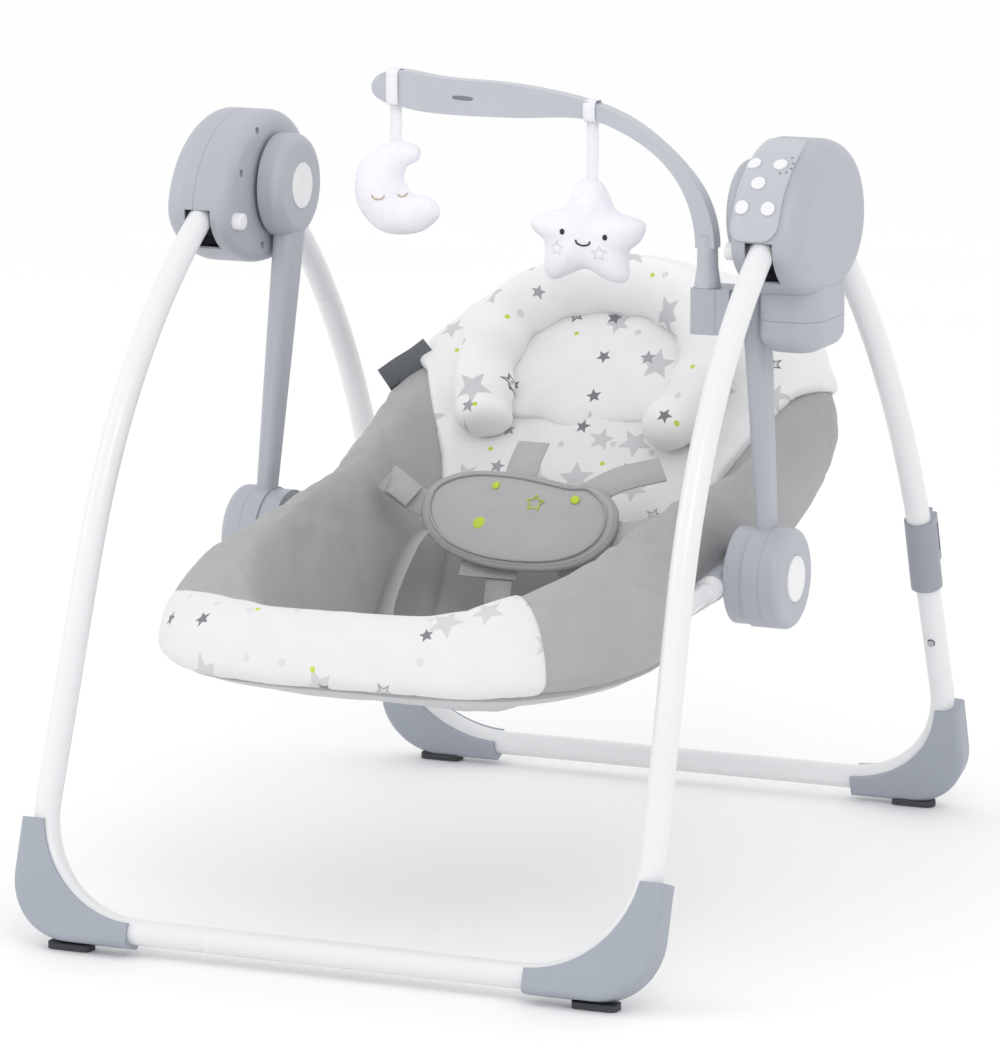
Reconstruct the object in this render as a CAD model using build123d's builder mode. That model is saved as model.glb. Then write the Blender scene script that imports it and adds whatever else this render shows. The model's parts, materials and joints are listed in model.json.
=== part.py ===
"""Portable baby swing: folding tube frame, powered swing arms, reclining seat and toy bar.

Frame: X across the swing, -Y towards the baby's feet, +Z up, millimetres.
The origin is on the floor, in the middle of the footprint.
"""
from build123d import *
from math import atan, cos, degrees, hypot, radians, sin
import os

os.makedirs("parts", exist_ok=True)

# ---------------------------------------------------------------- driving dimensions
SIDES = {"left": -1, "right": 1}

TUBE_R = 12.5           # frame tube, outside radius
TUBE_WALL = 1.5
SLEEVE_GAP = 0.05       # radial gap where one tube slides in another
BAR_Y = 440.5           # floor bars, from the middle of the footprint
BAR_Z = 23.5            # height of the floor bars' axes
LEG_X = 317.6           # leg axis at floor level, from the symmetry plane
LEG_LEAN = 0.03         # inward lean of the legs, mm per mm of height
CORNER_R = 115          # bend from leg to floor bar
SPLICE_LEN = 55         # swaged end of the base tube inside the leg tube
SNAP_R = 4              # snap button
SNAP_PROUD = 2.5
FOOT_HALF = 16          # half of a foot's thickness, square to the plane of the U
FOOT_OUT = 16.5         # reach of a foot beyond the tube's axis
FOOT_BOTTOM = 4.5       # height of the foot's flat sole
PAD_TOP = 6             # height to which a rubber pad is let into the foot

# side-view slope, splice height, height where the bend starts, bend radius, bend angle
FRONT = dict(sign=-1, slope=0.345, splice=210, bend=360, radius=590, angle=39)
REAR = dict(sign=1, slope=0.33, splice=164, bend=280, radius=786, angle=34.5)

LATCH_Z = 289
REAR_LATCH_Y = BAR_Y - REAR["slope"] * (LATCH_Z - BAR_Z)

PIVOT_Y = 13.5          # swing axis
PIVOT_Z = 683
FRONT_HINGE = (PIVOT_Y - 70, 680)   # Y, Z of the fold axes
REAR_HINGE = (PIVOT_Y + 55, 675)
FRONT_FOLD = 24
REAR_FOLD = 30

POD_X = 302             # middle plane of a housing
POD_HALF = 36           # half of a housing's thickness
POD_WALL = 2.5
POD_OUTER_FILLET = 24
POD_INNER_FILLET = 12
# side view of a housing, Y and Z from the swing axis
POD_OUTLINE = [(0, 75), (-62, 60), (-106, 16), (-114, -26), (-78, -62), (-10, -77), (52, -64),
               (86, -18), (66, 48)]
PIN_R = 4               # fold pins
BUSH_R = 9              # outside radius of the swing shaft's bushes
SHAFT_R = 6
POD_SEAM = 0.15         # half of the gap between two mating shells

PANEL_X = 290
PANEL_T = 2.4
BUTTON_R = 7
BUTTON_PROUD = 1.6
# control buttons: X, then Y and Z from the swing axis, then the lean of the button's axis
BUTTONS = [(276, -68, 52, 52), (303, -68, 52, 52), (288, -88, 38, 40), (277, -104, 18, 20),
           (304, -104, 18, 20)]
BOWL_X = 302            # battery bowl under the right housing
BOWL_Y = PIVOT_Y - 5

BOWL_BOTTOM = 553
DOOR_TOP = 585          # height of the seam round the bowl
LOCK_R = 8.5
FRONT_LOCK = (-93, -26)     # Y and Z of the leg locks from the swing axis
REAR_LOCK = (60, -30)
SCREWS = [(-78, 20), (-40, 58), (-30, -58), (58, 36)]    # Y and Z from the swing axis
CAP_R = 23
RECLINE_STEM_R = 7

ARM_TOP_X = 249         # middle of an arm at its head and at its foot
ARM_FOOT_X = 269
ARM_HEAD_R = 52
ARM_HEAD_T = 25
HUB_Y = PIVOT_Y - 15    # recline axis
HUB_Z = 326
HUB_R = 50

RING_X = 232            # seat tube, from the symmetry plane
RING_R = 9.5
RING_CORNER = 190
SEAT_FRONT = 415        # reach of the front half of the seat tube before the recline axis
FRONT_TILT = -6         # tilt of the two halves of the seat tube at the hubs
BACK_TILT = 20
BACK_BEND = (236, 205, 400)     # right half of the back tube: where its side turns up
BACK_CORNER = (150, 362, 528)   # and its upper corner
BACK_RADII = (200, 150)

# side view of the seat bed: its top from the crease to the front lip, then its underside (Y, Z)
SEAT_BED = [(36, 214), (-20, 208), (-150, 230), (-240, 250), (-332, 280), (-378, 334), (-404, 334),
            (-428, 298), (-424, 270), (-395, 264), (-190, 203), (-20, 178), (36, 188)]
CUSHION_T = 26
BED_HALF = 124
BACK_FOOT = (40, 212)   # front of the back cushion at the crease
BACK_LEAN = 50          # degrees from the floor
BACK_LEN = 468
BACK_HALF = 200
# side view of the wings' top at their foot, crest and outer edge: X, then (Y, Z) from the front
WINGS = [
    (129, [(-330, 276), (-200, 246), (-60, 226), (26, 224), (110, 310), (182, 394)]),
    (212, [(-285, 352), (-165, 374), (-60, 388), (40, 396), (190, 424), (268, 466)]),
    (250, [(-300, 292), (-190, 300), (-88, 318), (0, 340), (196, 396), (276, 446)]),
]
STRAP_WIDTH = 20
PAD_Y = PIVOT_Y - 4
PAD_Z = 352
# start and end of each strap; those off the middle are repeated on the other side
STRAPS = [
    ((0, -96, 224), (0, -25, 317)),
    ((146, 140, 366), (96, 28, 356)),
    ((45, 186, 392), (62, 38, 388)),
    ((118, -40, 236), (78, -6, 316)),
]

TOY_Y = PIVOT_Y - 31    # plane of the toy bar
POST_X = 213
POST_TOP = 650
SPIGOT_R = 8
SOCKET_TOP = 611
SOCKET_BOTTOM = 566
BLADE_T = 17
# front view of the toy bar (X, Z): upper edge from the tip to the post, then lower edge back
BAR_OVER = [(-141, 790), (-121, 807), (-85, 805), (-13, 801), (48, 795), (100, 784), (129, 773),
            (162, 752), (189, 728), (208, 704), (219, 678), (223, 650)]
BAR_UNDER = [(203, 650), (200, 676), (186, 710), (163, 736), (129, 757), (98, 768), (28, 768),
             (-13, 767), (-75, 768), (-116, 775), (-141, 790)]
MOON = (-112, 690)      # X and Z of the toys' middles
STAR = (93, 660)
TOY_T = 36
RIBBON_WIDTH = 12


# ---------------------------------------------------------------- helpers
def save(part, name):
    """Label a finished piece and write its STEP file."""
    part.label = name
    export_step(part, f"parts/{name}.step")


def across(x, y, z):
    """Plane facing +X at a point, with local x along +Y and local y along +Z."""
    return Plane(origin=(x, y, z), x_dir=(0, 1, 0), z_dir=(1, 0, 0))


def leg_plane(side):
    """Leaning plane that holds one leg in side view: local x is +Y, local y is up the lean."""
    lean = atan(LEG_LEAN)
    return Plane(origin=(side * LEG_X, 0, 0), x_dir=(0, 1, 0), z_dir=(cos(lean), 0, side * sin(lean)))


def bar_plane(leg):
    """Plane through a floor bar and its two legs: local x is +X, local y is up the legs."""
    tilt = atan(leg["slope"])
    return Plane(
        origin=(0, leg["sign"] * BAR_Y, BAR_Z),
        x_dir=(1, 0, 0),
        z_dir=(0, -cos(tilt), -leg["sign"] * sin(tilt)),
    )


def up_leg(z, leg):
    """Length along the sloping leg from the floor bar to a height."""
    return (z - BAR_Z) / cos(atan(leg["slope"]))


def leg_y(z, leg):
    """Side-view Y of the straight part of a leg at a height."""
    return leg["sign"] * (BAR_Y - leg["slope"] * (z - BAR_Z))


def leg_x(z):
    return LEG_X - LEG_LEAN * z


# ---------------------------------------------------------------- folding frame
def tube(path, outer, inner=None):
    """Round tube along a path, or a rod when no inner radius is given."""
    with BuildPart() as body:
        with BuildSketch(Plane(origin=path @ 0, z_dir=path % 0)):
            Circle(outer)
            if inner:
                Circle(inner, mode=Mode.SUBTRACT)
        sweep(path=path)
    return body.part


def leg_path(leg, side):
    """Axis of a leg tube: straight from the splice, then one long bend towards the housing."""
    rise = 1 / cos(atan(LEG_LEAN))
    with BuildLine(leg_plane(side)) as path:
        straight = Line(
            (leg_y(leg["splice"], leg), leg["splice"] * rise),
            (leg_y(leg["bend"], leg), leg["bend"] * rise),
        )
        JernArc(straight @ 1, straight % 1, leg["radius"], leg["sign"] * leg["angle"])
    return path.line


def base_path(leg):
    """Axis of a floor bar with its two upturned ends, up to the splices."""
    top = up_leg(leg["splice"], leg)
    x_top = leg_x(leg["splice"])
    x_bar = leg_x(BAR_Z)
    with BuildLine(bar_plane(leg)) as path:
        FilletPolyline((-x_top, top), (-x_bar, 0), (x_bar, 0), (x_top, top), radius=CORNER_R)
    return path.line


def snap_plane(leg, side):
    """Plane of a snap button: on the tube's axis above the splice, facing into the frame."""
    z = leg["splice"] + 30
    tilt = atan(leg["slope"])
    return Plane(
        origin=(side * leg_x(z), leg_y(z, leg), z),
        x_dir=(1, 0, 0),
        z_dir=(0, -leg["sign"] * cos(tilt), -sin(tilt)),
    )


def snap_hole(leg, side):
    """Clearance hole for a snap button through one wall."""
    with BuildPart() as hole:
        with BuildSketch(snap_plane(leg, side)):
            Circle(SNAP_R + 0.2)
        extrude(amount=TUBE_R + 5)
    return hole.part


def leg_tubes(leg):
    """Pair of upper leg tubes with their snap-button holes."""
    with BuildPart() as body:
        for side in SIDES.values():
            add(tube(leg_path(leg, side), TUBE_R, TUBE_R - TUBE_WALL))
            add(snap_hole(leg, side), mode=Mode.SUBTRACT)
    return body.part


def base_tube(leg):
    """U-shaped floor tube whose swaged ends slide into the leg tubes."""
    path = base_path(leg)
    swage = TUBE_R - TUBE_WALL - SLEEVE_GAP
    with BuildPart() as body:
        add(tube(path, TUBE_R, TUBE_R - TUBE_WALL))
        for end, direction in ((path @ 0, -(path % 0)), (path @ 1, path % 1)):
            with BuildSketch(Plane(origin=end - direction * 12, z_dir=direction)):
                Circle(swage + 0.2)
                Circle(swage - TUBE_WALL, mode=Mode.SUBTRACT)
            extrude(amount=12)
            with BuildSketch(Plane(origin=end, z_dir=direction)):
                Circle(swage)
                Circle(swage - TUBE_WALL, mode=Mode.SUBTRACT)
            extrude(amount=SPLICE_LEN)
        for side in SIDES.values():
            add(snap_hole(leg, side), mode=Mode.SUBTRACT)
    return body.part


def snap_buttons(leg):
    """Pair of snap buttons, each with the flange that its leaf spring pushes on."""
    with BuildPart() as body:
        for side in SIDES.values():
            plane = snap_plane(leg, side)
            with BuildSketch(plane.offset(5)):
                Circle(SNAP_R)
            extrude(amount=TUBE_R + SNAP_PROUD - 5, taper=4)
            with BuildSketch(plane.offset(4)):
                Circle(5.5)
            extrude(amount=1.5)
    return body.part


def corner_feet(leg):
    """Crescent-shaped feet that wrap the outside of the two bends."""
    x_bar = leg_x(BAR_Z)
    height = 98
    length = 112
    with BuildPart() as body:
        for side in SIDES.values():
            with BuildSketch(bar_plane(leg)) as outline:
                with Locations((side * (x_bar + (FOOT_OUT - length) / 2), (height - FOOT_OUT) / 2)):
                    Rectangle(length + FOOT_OUT, height + FOOT_OUT)
                corner = outline.vertices().sort_by(Axis.Y)[:2].sort_by(Axis.X)[-1 if side > 0 else 0]
                fillet(corner, 62)
                with Locations((side * (x_bar - CORNER_R), CORNER_R)):
                    Circle(CORNER_R - 7, mode=Mode.SUBTRACT)
            extrude(amount=FOOT_HALF, both=True)
        rims = body.edges().filter_by(lambda e: e.geom_type == GeomType.CIRCLE and e.radius < 80)
        fillet(rims, 7)
        add(tube(base_path(leg), TUBE_R), mode=Mode.SUBTRACT)
        with BuildSketch(Plane.XY.offset(FOOT_BOTTOM)):
            with Locations((0, leg["sign"] * BAR_Y)):
                Rectangle(700, 120)
        extrude(amount=-40, mode=Mode.SUBTRACT)
        add(foot_pads(leg), mode=Mode.SUBTRACT)
    return body.part


def foot_pads(leg):
    """Rubber pads let into the soles."""
    with BuildPart() as body:
        with BuildSketch(Plane.XY):
            with Locations(*[(side * 272, leg["sign"] * (BAR_Y - 2)) for side in SIDES.values()]):
                RectangleRounded(46, 20, 7)
        extrude(amount=PAD_TOP)
    return body.part


def knuckles(leg, hinge):
    """Hinge knuckles plugged into the top ends of a pair of leg tubes."""
    with BuildPart() as body:
        for side in SIDES.values():
            path = leg_path(leg, side)
            end, direction = path @ 1, path % 1
            with BuildSketch(across(side * leg_x(hinge[1]), *hinge)):
                Circle(17)
            extrude(amount=13, both=True)
            with BuildSketch(Plane(origin=end - direction * 25, z_dir=direction)):
                Circle(TUBE_R - TUBE_WALL - 0.7)
            extrude(amount=25)
            with BuildSketch(Plane(origin=end, z_dir=direction)):
                Circle(TUBE_R)
            extrude(amount=16)
            with BuildSketch(across(side * leg_x(hinge[1]), *hinge)):
                Circle(PIN_R + SLEEVE_GAP)
            extrude(amount=30, both=True, mode=Mode.SUBTRACT)
    return body.part


# ---------------------------------------------------------------- housings
def pod_solid(side, grow):
    """Egg-shaped body of a housing, grown or shrunk all round."""
    with BuildPart() as body:
        with BuildSketch(across(side * POD_X, PIVOT_Y, PIVOT_Z)):
            with BuildLine():
                Spline(*[(y + grow * y / hypot(y, z), z + grow * z / hypot(y, z)) for y, z in POD_OUTLINE],
                       periodic=True)
            make_face()
        extrude(amount=POD_HALF + grow, both=True)
        rims = body.faces().sort_by(Axis.X)
        outboard = rims[-1] if side > 0 else rims[0]
        inboard = rims[0] if side > 0 else rims[-1]
        fillet(outboard.edges(), POD_OUTER_FILLET + grow)
        fillet(inboard.edges(), POD_INNER_FILLET + grow)
    return body.part


def leg_slot(leg, hinge, fold, side):
    """Space that a leg tube sweeps where it leaves the housing."""
    reach = 110
    rest = degrees(atan(leg["slope"])) + leg["angle"]
    dirs = [(leg["sign"] * sin(radians(a)), -cos(radians(a))) for a in (rest + 1, rest - fold)]
    with BuildPart() as body:
        with BuildSketch(across(side * leg_x(hinge[1]), *hinge)):
            Circle(18)
            for dy, dz in dirs:
                with BuildLine():
                    Polyline(
                        (-14 * dz, 14 * dy),
                        (reach * dy - 14 * dz, reach * dz + 14 * dy),
                        (reach * dy + 14 * dz, reach * dz - 14 * dy),
                        (14 * dz, -14 * dy),
                        close=True,
                    )
                make_face()
            with BuildLine():
                Polyline((0, 0), *[(reach * dy, reach * dz) for dy, dz in dirs], close=True)
            make_face()
        extrude(amount=14, both=True)
    return body.part


def housing_shell(side, outer):
    """Half shell of a housing; outer picks the outboard half."""
    sign = side if outer else -side
    seam = side * POD_X + sign * POD_SEAM
    with BuildPart() as body:
        add(pod_solid(side, 0))
        add(pod_solid(side, -POD_WALL), mode=Mode.SUBTRACT)
        # bosses for the fold pins and the swing shaft
        for y, z in (FRONT_HINGE, REAR_HINGE):
            with BuildSketch(across(side * POD_X, y, z)):
                Circle(PIN_R + 3)
            boss = extrude(amount=POD_HALF - 1.5, both=True, mode=Mode.PRIVATE)
            with BuildSketch(across(side * leg_x(z), y, z)):
                Circle(20)
            gap = extrude(amount=13.5, both=True, mode=Mode.PRIVATE)
            add(boss - gap)
        with BuildSketch(across(side * POD_X, PIVOT_Y, PIVOT_Z)):
            Circle(BUSH_R + 3)
        boss = extrude(amount=POD_HALF - 1.5, both=True, mode=Mode.PRIVATE)
        with BuildSketch(across(side * POD_X, PIVOT_Y, PIVOT_Z)):
            Circle(BUSH_R + 6)
        gap = extrude(amount=POD_HALF - 12, both=True, mode=Mode.PRIVATE)
        add(boss - gap)
        with BuildSketch(across(side * POD_X, PIVOT_Y, PIVOT_Z)):
            Circle(BUSH_R)
        extrude(amount=-side * (POD_HALF + 5), mode=Mode.SUBTRACT)
        with BuildSketch(across(side * POD_X, PIVOT_Y, PIVOT_Z)):
            Circle(BUSH_R)
        extrude(amount=side * (POD_HALF - POD_WALL), mode=Mode.SUBTRACT)
        for hinge in (FRONT_HINGE, REAR_HINGE):
            with BuildSketch(across(side * POD_X, *hinge)):
                Circle(PIN_R)
            extrude(amount=POD_HALF - POD_WALL, both=True, mode=Mode.SUBTRACT)
        add(leg_slot(FRONT, FRONT_HINGE, FRONT_FOLD, side), mode=Mode.SUBTRACT)
        add(leg_slot(REAR, REAR_HINGE, REAR_FOLD, side), mode=Mode.SUBTRACT)
        # screw posts, blind in the outer half and counterbored in the inner half
        core = pod_solid(side, -0.5)
        for dy, dz in SCREWS:
            with BuildSketch(across(side * POD_X, PIVOT_Y + dy, PIVOT_Z + dz)):
                Circle(5.5)
            add(extrude(amount=POD_HALF, both=True, mode=Mode.PRIVATE) & core)
        for dy, dz in SCREWS:
            with BuildSketch(across(side * (POD_X - 45), PIVOT_Y + dy, PIVOT_Z + dz)):
                Circle(3.8)
            extrude(amount=side * 19, mode=Mode.SUBTRACT)
            with BuildSketch(across(side * (POD_X - 30), PIVOT_Y + dy, PIVOT_Z + dz)):
                Circle(1.55)
            extrude(amount=side * 45, mode=Mode.SUBTRACT)
        for dy, dz in (FRONT_LOCK, REAR_LOCK):
            with BuildSketch(across(side * (POD_X - 50), PIVOT_Y + dy, PIVOT_Z + dz)):
                Circle(LOCK_R + 0.3)
            extrude(amount=side * 30, mode=Mode.SUBTRACT)
        split(bisect_by=Plane(origin=(seam, 0, 0), z_dir=(sign, 0, 0)))
    return body.part.solids().sort_by(SortBy.VOLUME)[-1]


def housing_sides(side):
    """Inner and outer shell of one housing, with the openings that only the right one has."""
    shells = {"inner": housing_shell(side, False), "outer": housing_shell(side, True)}
    if side < 0:
        return shells
    for key, shell in shells.items():
        with BuildPart() as body:
            add(shell)
            with BuildSketch(Plane.XY.offset(PIVOT_Z - 90)):
                with Locations((BOWL_X, BOWL_Y)):
                    Rectangle(54, 58)
            extrude(amount=40, mode=Mode.SUBTRACT)
            for plane in button_planes():
                with BuildSketch(plane.offset(-20)):
                    Circle(BUTTON_R + 0.4)
                extrude(amount=40, mode=Mode.SUBTRACT)
        shells[key] = body.part
    return shells


# ---------------------------------------------------------------- control panel
def button_planes():
    """Plane of each control button, facing out of the panel."""
    planes = []
    for x, dy, dz, lean in BUTTONS:
        normal = (0, -cos(radians(lean)), sin(radians(lean)))
        planes.append(Plane(origin=(x, PIVOT_Y + dy, PIVOT_Z + dz), x_dir=(1, 0, 0), z_dir=normal))
    return planes


def control_panel():
    """Raised cover on the front of the right housing."""
    with BuildPart() as body:
        add(pod_solid(1, PANEL_T))
        add(pod_solid(1, 0.05), mode=Mode.SUBTRACT)
        with BuildSketch(Plane.XZ.offset(10)):
            with Locations((PANEL_X, PIVOT_Z + 34)):
                RectangleRounded(53, 92, 18)
        extrude(amount=160, mode=Mode.INTERSECT)
        for plane in button_planes():
            with BuildSketch(plane.offset(-20)):
                Circle(BUTTON_R + 0.15)
            extrude(amount=40, mode=Mode.SUBTRACT)
    return body.part


def control_button(plane):
    """One push button, its face flush with a slightly larger body than the panel's."""
    with BuildPart() as body:
        with BuildSketch(plane.offset(-9)):
            Circle(BUTTON_R)
        extrude(amount=40)
        add(pod_solid(1, PANEL_T + BUTTON_PROUD), mode=Mode.INTERSECT)
    return body.part


# ---------------------------------------------------------------- hardware inside the housings
def ring_stack(points, outer, inner, length):
    """Rings along X; each point is the middle of a ring."""
    with BuildPart() as body:
        for x, y, z in points:
            with BuildSketch(across(x, y, z)):
                Circle(outer)
                if inner:
                    Circle(inner, mode=Mode.SUBTRACT)
            extrude(amount=length / 2, both=True)
    return body.part


def pivot_bushes():
    """Two plain bushes in each housing that carry the swing shaft."""
    places = [(side * x, PIVOT_Y, PIVOT_Z) for side in SIDES.values() for x in (POD_X - 31, POD_X + 29)]
    return ring_stack(places, BUSH_R, SHAFT_R + SLEEVE_GAP, 9)


def leg_hinge_pins():
    """Steel pins that the four legs fold about."""
    places = [(side * POD_X, y, z) for side in SIDES.values() for y, z in (FRONT_HINGE, REAR_HINGE)]
    return ring_stack(places, PIN_R, 0, 2 * (POD_HALF - POD_WALL))


def pivot_shafts():
    """Shafts fixed to the arm heads."""
    places = [(side * 287.5, PIVOT_Y, PIVOT_Z) for side in SIDES.values()]
    return ring_stack(places, SHAFT_R, 0, 92)


def drive_magnet():
    """Lever on the right shaft with the magnet that the coil pushes."""
    with BuildPart() as body:
        with BuildSketch(across(POD_X, PIVOT_Y, PIVOT_Z)):
            Circle(11)
            with Locations((0, -18)):
                Rectangle(12, 36)
            Circle(SHAFT_R, mode=Mode.SUBTRACT)
        extrude(amount=4, both=True)
        with BuildSketch(across(POD_X, PIVOT_Y, PIVOT_Z)):
            with Locations((0, -33)):
                Rectangle(14, 7)
        extrude(amount=8, both=True)
    return body.part


def drive_coil():
    """Drive coil on its bobbin, under the magnet."""
    with BuildPart() as body:
        with BuildSketch(Plane(origin=(POD_X, PIVOT_Y, PIVOT_Z - 54))):
            Circle(13)
            Circle(5, mode=Mode.SUBTRACT)
        extrude(amount=11)
    return body.part


def circuit_board():
    """Board behind the panel with its switches and indicator lamps."""
    with BuildPart() as body:
        with BuildSketch(Plane.XZ.offset(-(PIVOT_Y - 53.5))):
            with Locations((BOWL_X, PIVOT_Z + 34)):
                Rectangle(50, 28)
        extrude(amount=1.6)
        with BuildSketch(Plane.XZ.offset(-(PIVOT_Y - 53.5))):
            with Locations((BOWL_X, PIVOT_Z + 34)):
                with GridLocations(14, 10, 3, 2):
                    Rectangle(6, 6)
        extrude(amount=4)
    return body.part


def speaker():
    """Small loudspeaker against the outer wall."""
    return ring_stack([(328, PIVOT_Y + 32, PIVOT_Z + 30)], 13, 0, 8)


# ---------------------------------------------------------------- battery bowl
def bowl_solid(shrink):
    with BuildPart() as body:
        with BuildSketch(Plane.XY.offset(BOWL_BOTTOM + shrink)):
            with Locations((BOWL_X, BOWL_Y)):
                RectangleRounded(66 - 2 * shrink, 98 - 2 * shrink, 26 - shrink)
        extrude(amount=90)
        fillet(body.faces().sort_by(Axis.Z)[0].edges(), 18 - shrink)
    return body.part


def battery_bowl(lower):
    """Bowl under the right housing: the fixed upper case, or the door that closes it below."""
    with BuildPart() as body:
        add(bowl_solid(0))
        add(bowl_solid(POD_WALL), mode=Mode.SUBTRACT)
        add(pod_solid(1, 0.1), mode=Mode.SUBTRACT)
        with BuildSketch(Plane.XY.offset(PIVOT_Z - 40)):
            with Locations((BOWL_X, BOWL_Y)):
                Rectangle(120, 140)
        extrude(amount=80, mode=Mode.SUBTRACT)
        add(leg_slot(FRONT, FRONT_HINGE, FRONT_FOLD, 1), mode=Mode.SUBTRACT)
        add(leg_slot(REAR, REAR_HINGE, REAR_FOLD, 1), mode=Mode.SUBTRACT)
        cut = Plane.XY.offset(DOOR_TOP - 0.15 if lower else DOOR_TOP + 0.15)
        split(bisect_by=cut, keep=Keep.BOTTOM if lower else Keep.TOP)
    return body.part.solids().sort_by(SortBy.VOLUME)[-1]


def battery_cells():
    """Four C cells, lying across the bowl."""
    places = [(BOWL_X, BOWL_Y + dy, BOWL_BOTTOM + 20 + dz) for dy in (-13.2, 13.2) for dz in (0, 26.4)]
    return ring_stack(places, 13, 0, 50)


def battery_contacts():
    """Contact plates at both ends of the cells."""
    with BuildPart() as body:
        for x in (BOWL_X - 26.3, BOWL_X + 26.3):
            with BuildSketch(across(x, BOWL_Y, BOWL_BOTTOM + 34)):
                Rectangle(48, 44)
            extrude(amount=0.3, both=True)
    return body.part


# ---------------------------------------------------------------- leg locks and screws
def leg_lock(side, place):
    """White push button on the inner face of a housing that frees one leg."""
    y, z = PIVOT_Y + place[0], PIVOT_Z + place[1]
    with BuildPart() as body:
        with BuildSketch(across(side * 256, y, z)):
            Circle(LOCK_R)
        extrude(amount=side * 25)
        with BuildSketch(across(side * 269, y, z)):
            Circle(LOCK_R + 1.2)
        extrude(amount=side * 2)
        tip = body.faces().sort_by(Axis.X)[0 if side > 0 else -1]
        fillet(tip.edges(), 2.5)
    return body.part


def case_screws():
    """Screws that hold the housing halves together, and the one in the battery door."""
    with BuildPart() as body:
        for side in SIDES.values():
            for dy, dz in SCREWS:
                with BuildSketch(across(side * (POD_X - 26), PIVOT_Y + dy, PIVOT_Z + dz)):
                    Circle(3)
                extrude(amount=-side * 2.5)
                with BuildSketch(across(side * (POD_X - 26), PIVOT_Y + dy, PIVOT_Z + dz)):
                    Circle(1.5)
                extrude(amount=side * 40)
    return body.part


# ---------------------------------------------------------------- swing arms
def swing_arm(side):
    """One-piece arm: round head on the shaft, tapering stem and the disc of the recline hub."""
    with BuildPart() as body:
        with BuildSketch(across(side * ARM_TOP_X, PIVOT_Y, PIVOT_Z)):
            Circle(ARM_HEAD_R)
        extrude(amount=ARM_HEAD_T / 2, both=True)
        inboard = body.faces().sort_by(Axis.X)[0 if side > 0 else -1]
        fillet(inboard.edges(), 11)
        with BuildSketch(Plane(origin=(side * ARM_TOP_X, PIVOT_Y, PIVOT_Z - 30))):
            RectangleRounded(ARM_HEAD_T - 1, 39, 9)
        with BuildSketch(Plane(origin=(side * 272, HUB_Y, HUB_Z + 30))):
            RectangleRounded(16, 25, 6)
        loft()
        with BuildSketch(across(side * 262.5, HUB_Y, HUB_Z)):
            Circle(HUB_R)
        extrude(amount=side * 17.3)
        with BuildSketch(across(side * ARM_TOP_X, PIVOT_Y, PIVOT_Z)):
            Circle(SHAFT_R)
        extrude(amount=30, both=True, mode=Mode.SUBTRACT)
        with BuildSketch(across(side * (ARM_TOP_X - ARM_HEAD_T / 2), PIVOT_Y, PIVOT_Z)):
            Circle(CAP_R)
        extrude(amount=side * 3, mode=Mode.SUBTRACT)
        with BuildSketch(across(side * 260, HUB_Y, HUB_Z)):
            Circle(RECLINE_STEM_R + 0.1)
        extrude(amount=side * 40, mode=Mode.SUBTRACT)
    return body.part


def pivot_caps():
    """White caps in the arm heads."""
    with BuildPart() as body:
        for side in SIDES.values():
            with BuildSketch(across(side * (ARM_TOP_X - ARM_HEAD_T / 2 + 3), PIVOT_Y, PIVOT_Z)):
                Circle(CAP_R)
            extrude(amount=-side * 4)
    return body.part


def recline_covers():
    """Outer covers of the recline hubs, bored for the white buttons."""
    with BuildPart() as body:
        for side in SIDES.values():
            with BuildSketch(across(side * 280, HUB_Y, HUB_Z)):
                Circle(HUB_R)
            extrude(amount=side * 21)
            with BuildSketch(across(side * 288, HUB_Y, HUB_Z)):
                Circle(CAP_R + 0.3)
            extrude(amount=side * 20, mode=Mode.SUBTRACT)
            with BuildSketch(across(side * 270, HUB_Y, HUB_Z)):
                Circle(RECLINE_STEM_R + 0.3)
            extrude(amount=side * 40, mode=Mode.SUBTRACT)
        for side in SIDES.values():
            rim = body.edges().filter_by(GeomType.CIRCLE)
            rim = rim.filter_by(lambda e: abs(e.radius - HUB_R) < 0.1)
            rim = rim.sort_by(Axis.X)[-1 if side > 0 else 0]
            fillet(rim, 8)
    return body.part


def recline_button(side):
    """White button of a recline hub, on a stem that frees the seat plate when pressed."""
    with BuildPart() as body:
        with BuildSketch(across(side * 296, HUB_Y, HUB_Z)):
            Circle(CAP_R)
        extrude(amount=side * 7)
        face = body.faces().sort_by(Axis.X)[-1 if side > 0 else 0]
        fillet(face.edges(), 2)
        with BuildSketch(across(side * 268, HUB_Y, HUB_Z)):
            Circle(RECLINE_STEM_R)
        extrude(amount=side * 28)
    return body.part


# ---------------------------------------------------------------- seat frame
def seat_plane(tilt, sign):
    """Plane of one half of the seat tube: local x is +X, local y leads away from the hubs."""
    a = radians(tilt)
    return Plane(origin=(0, HUB_Y, HUB_Z), x_dir=(1, 0, 0), z_dir=(0, -sin(a), sign * cos(a)))


def front_seat_path():
    with BuildLine(seat_plane(FRONT_TILT, -1)) as path:
        FilletPolyline(
            (-RING_X, 16), (-RING_X, SEAT_FRONT), (RING_X, SEAT_FRONT), (RING_X, 16), radius=RING_CORNER
        )
    return path.line


def back_seat_path():
    """Back half of the seat tube: two sides that turn up into an arch behind the headrest."""
    start = seat_plane(BACK_TILT, 1).from_local_coords((RING_X, 16, 0))
    half = [(start.X, start.Y, start.Z), BACK_BEND, BACK_CORNER]
    mirrored = [(-x, y, z) for x, y, z in half]
    with BuildLine() as path:
        FilletPolyline(*mirrored, *reversed(half), radius=[*BACK_RADII, *reversed(BACK_RADII)])
    return path.line


SEAT_PATHS = {"front": front_seat_path(), "back": back_seat_path()}


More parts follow.
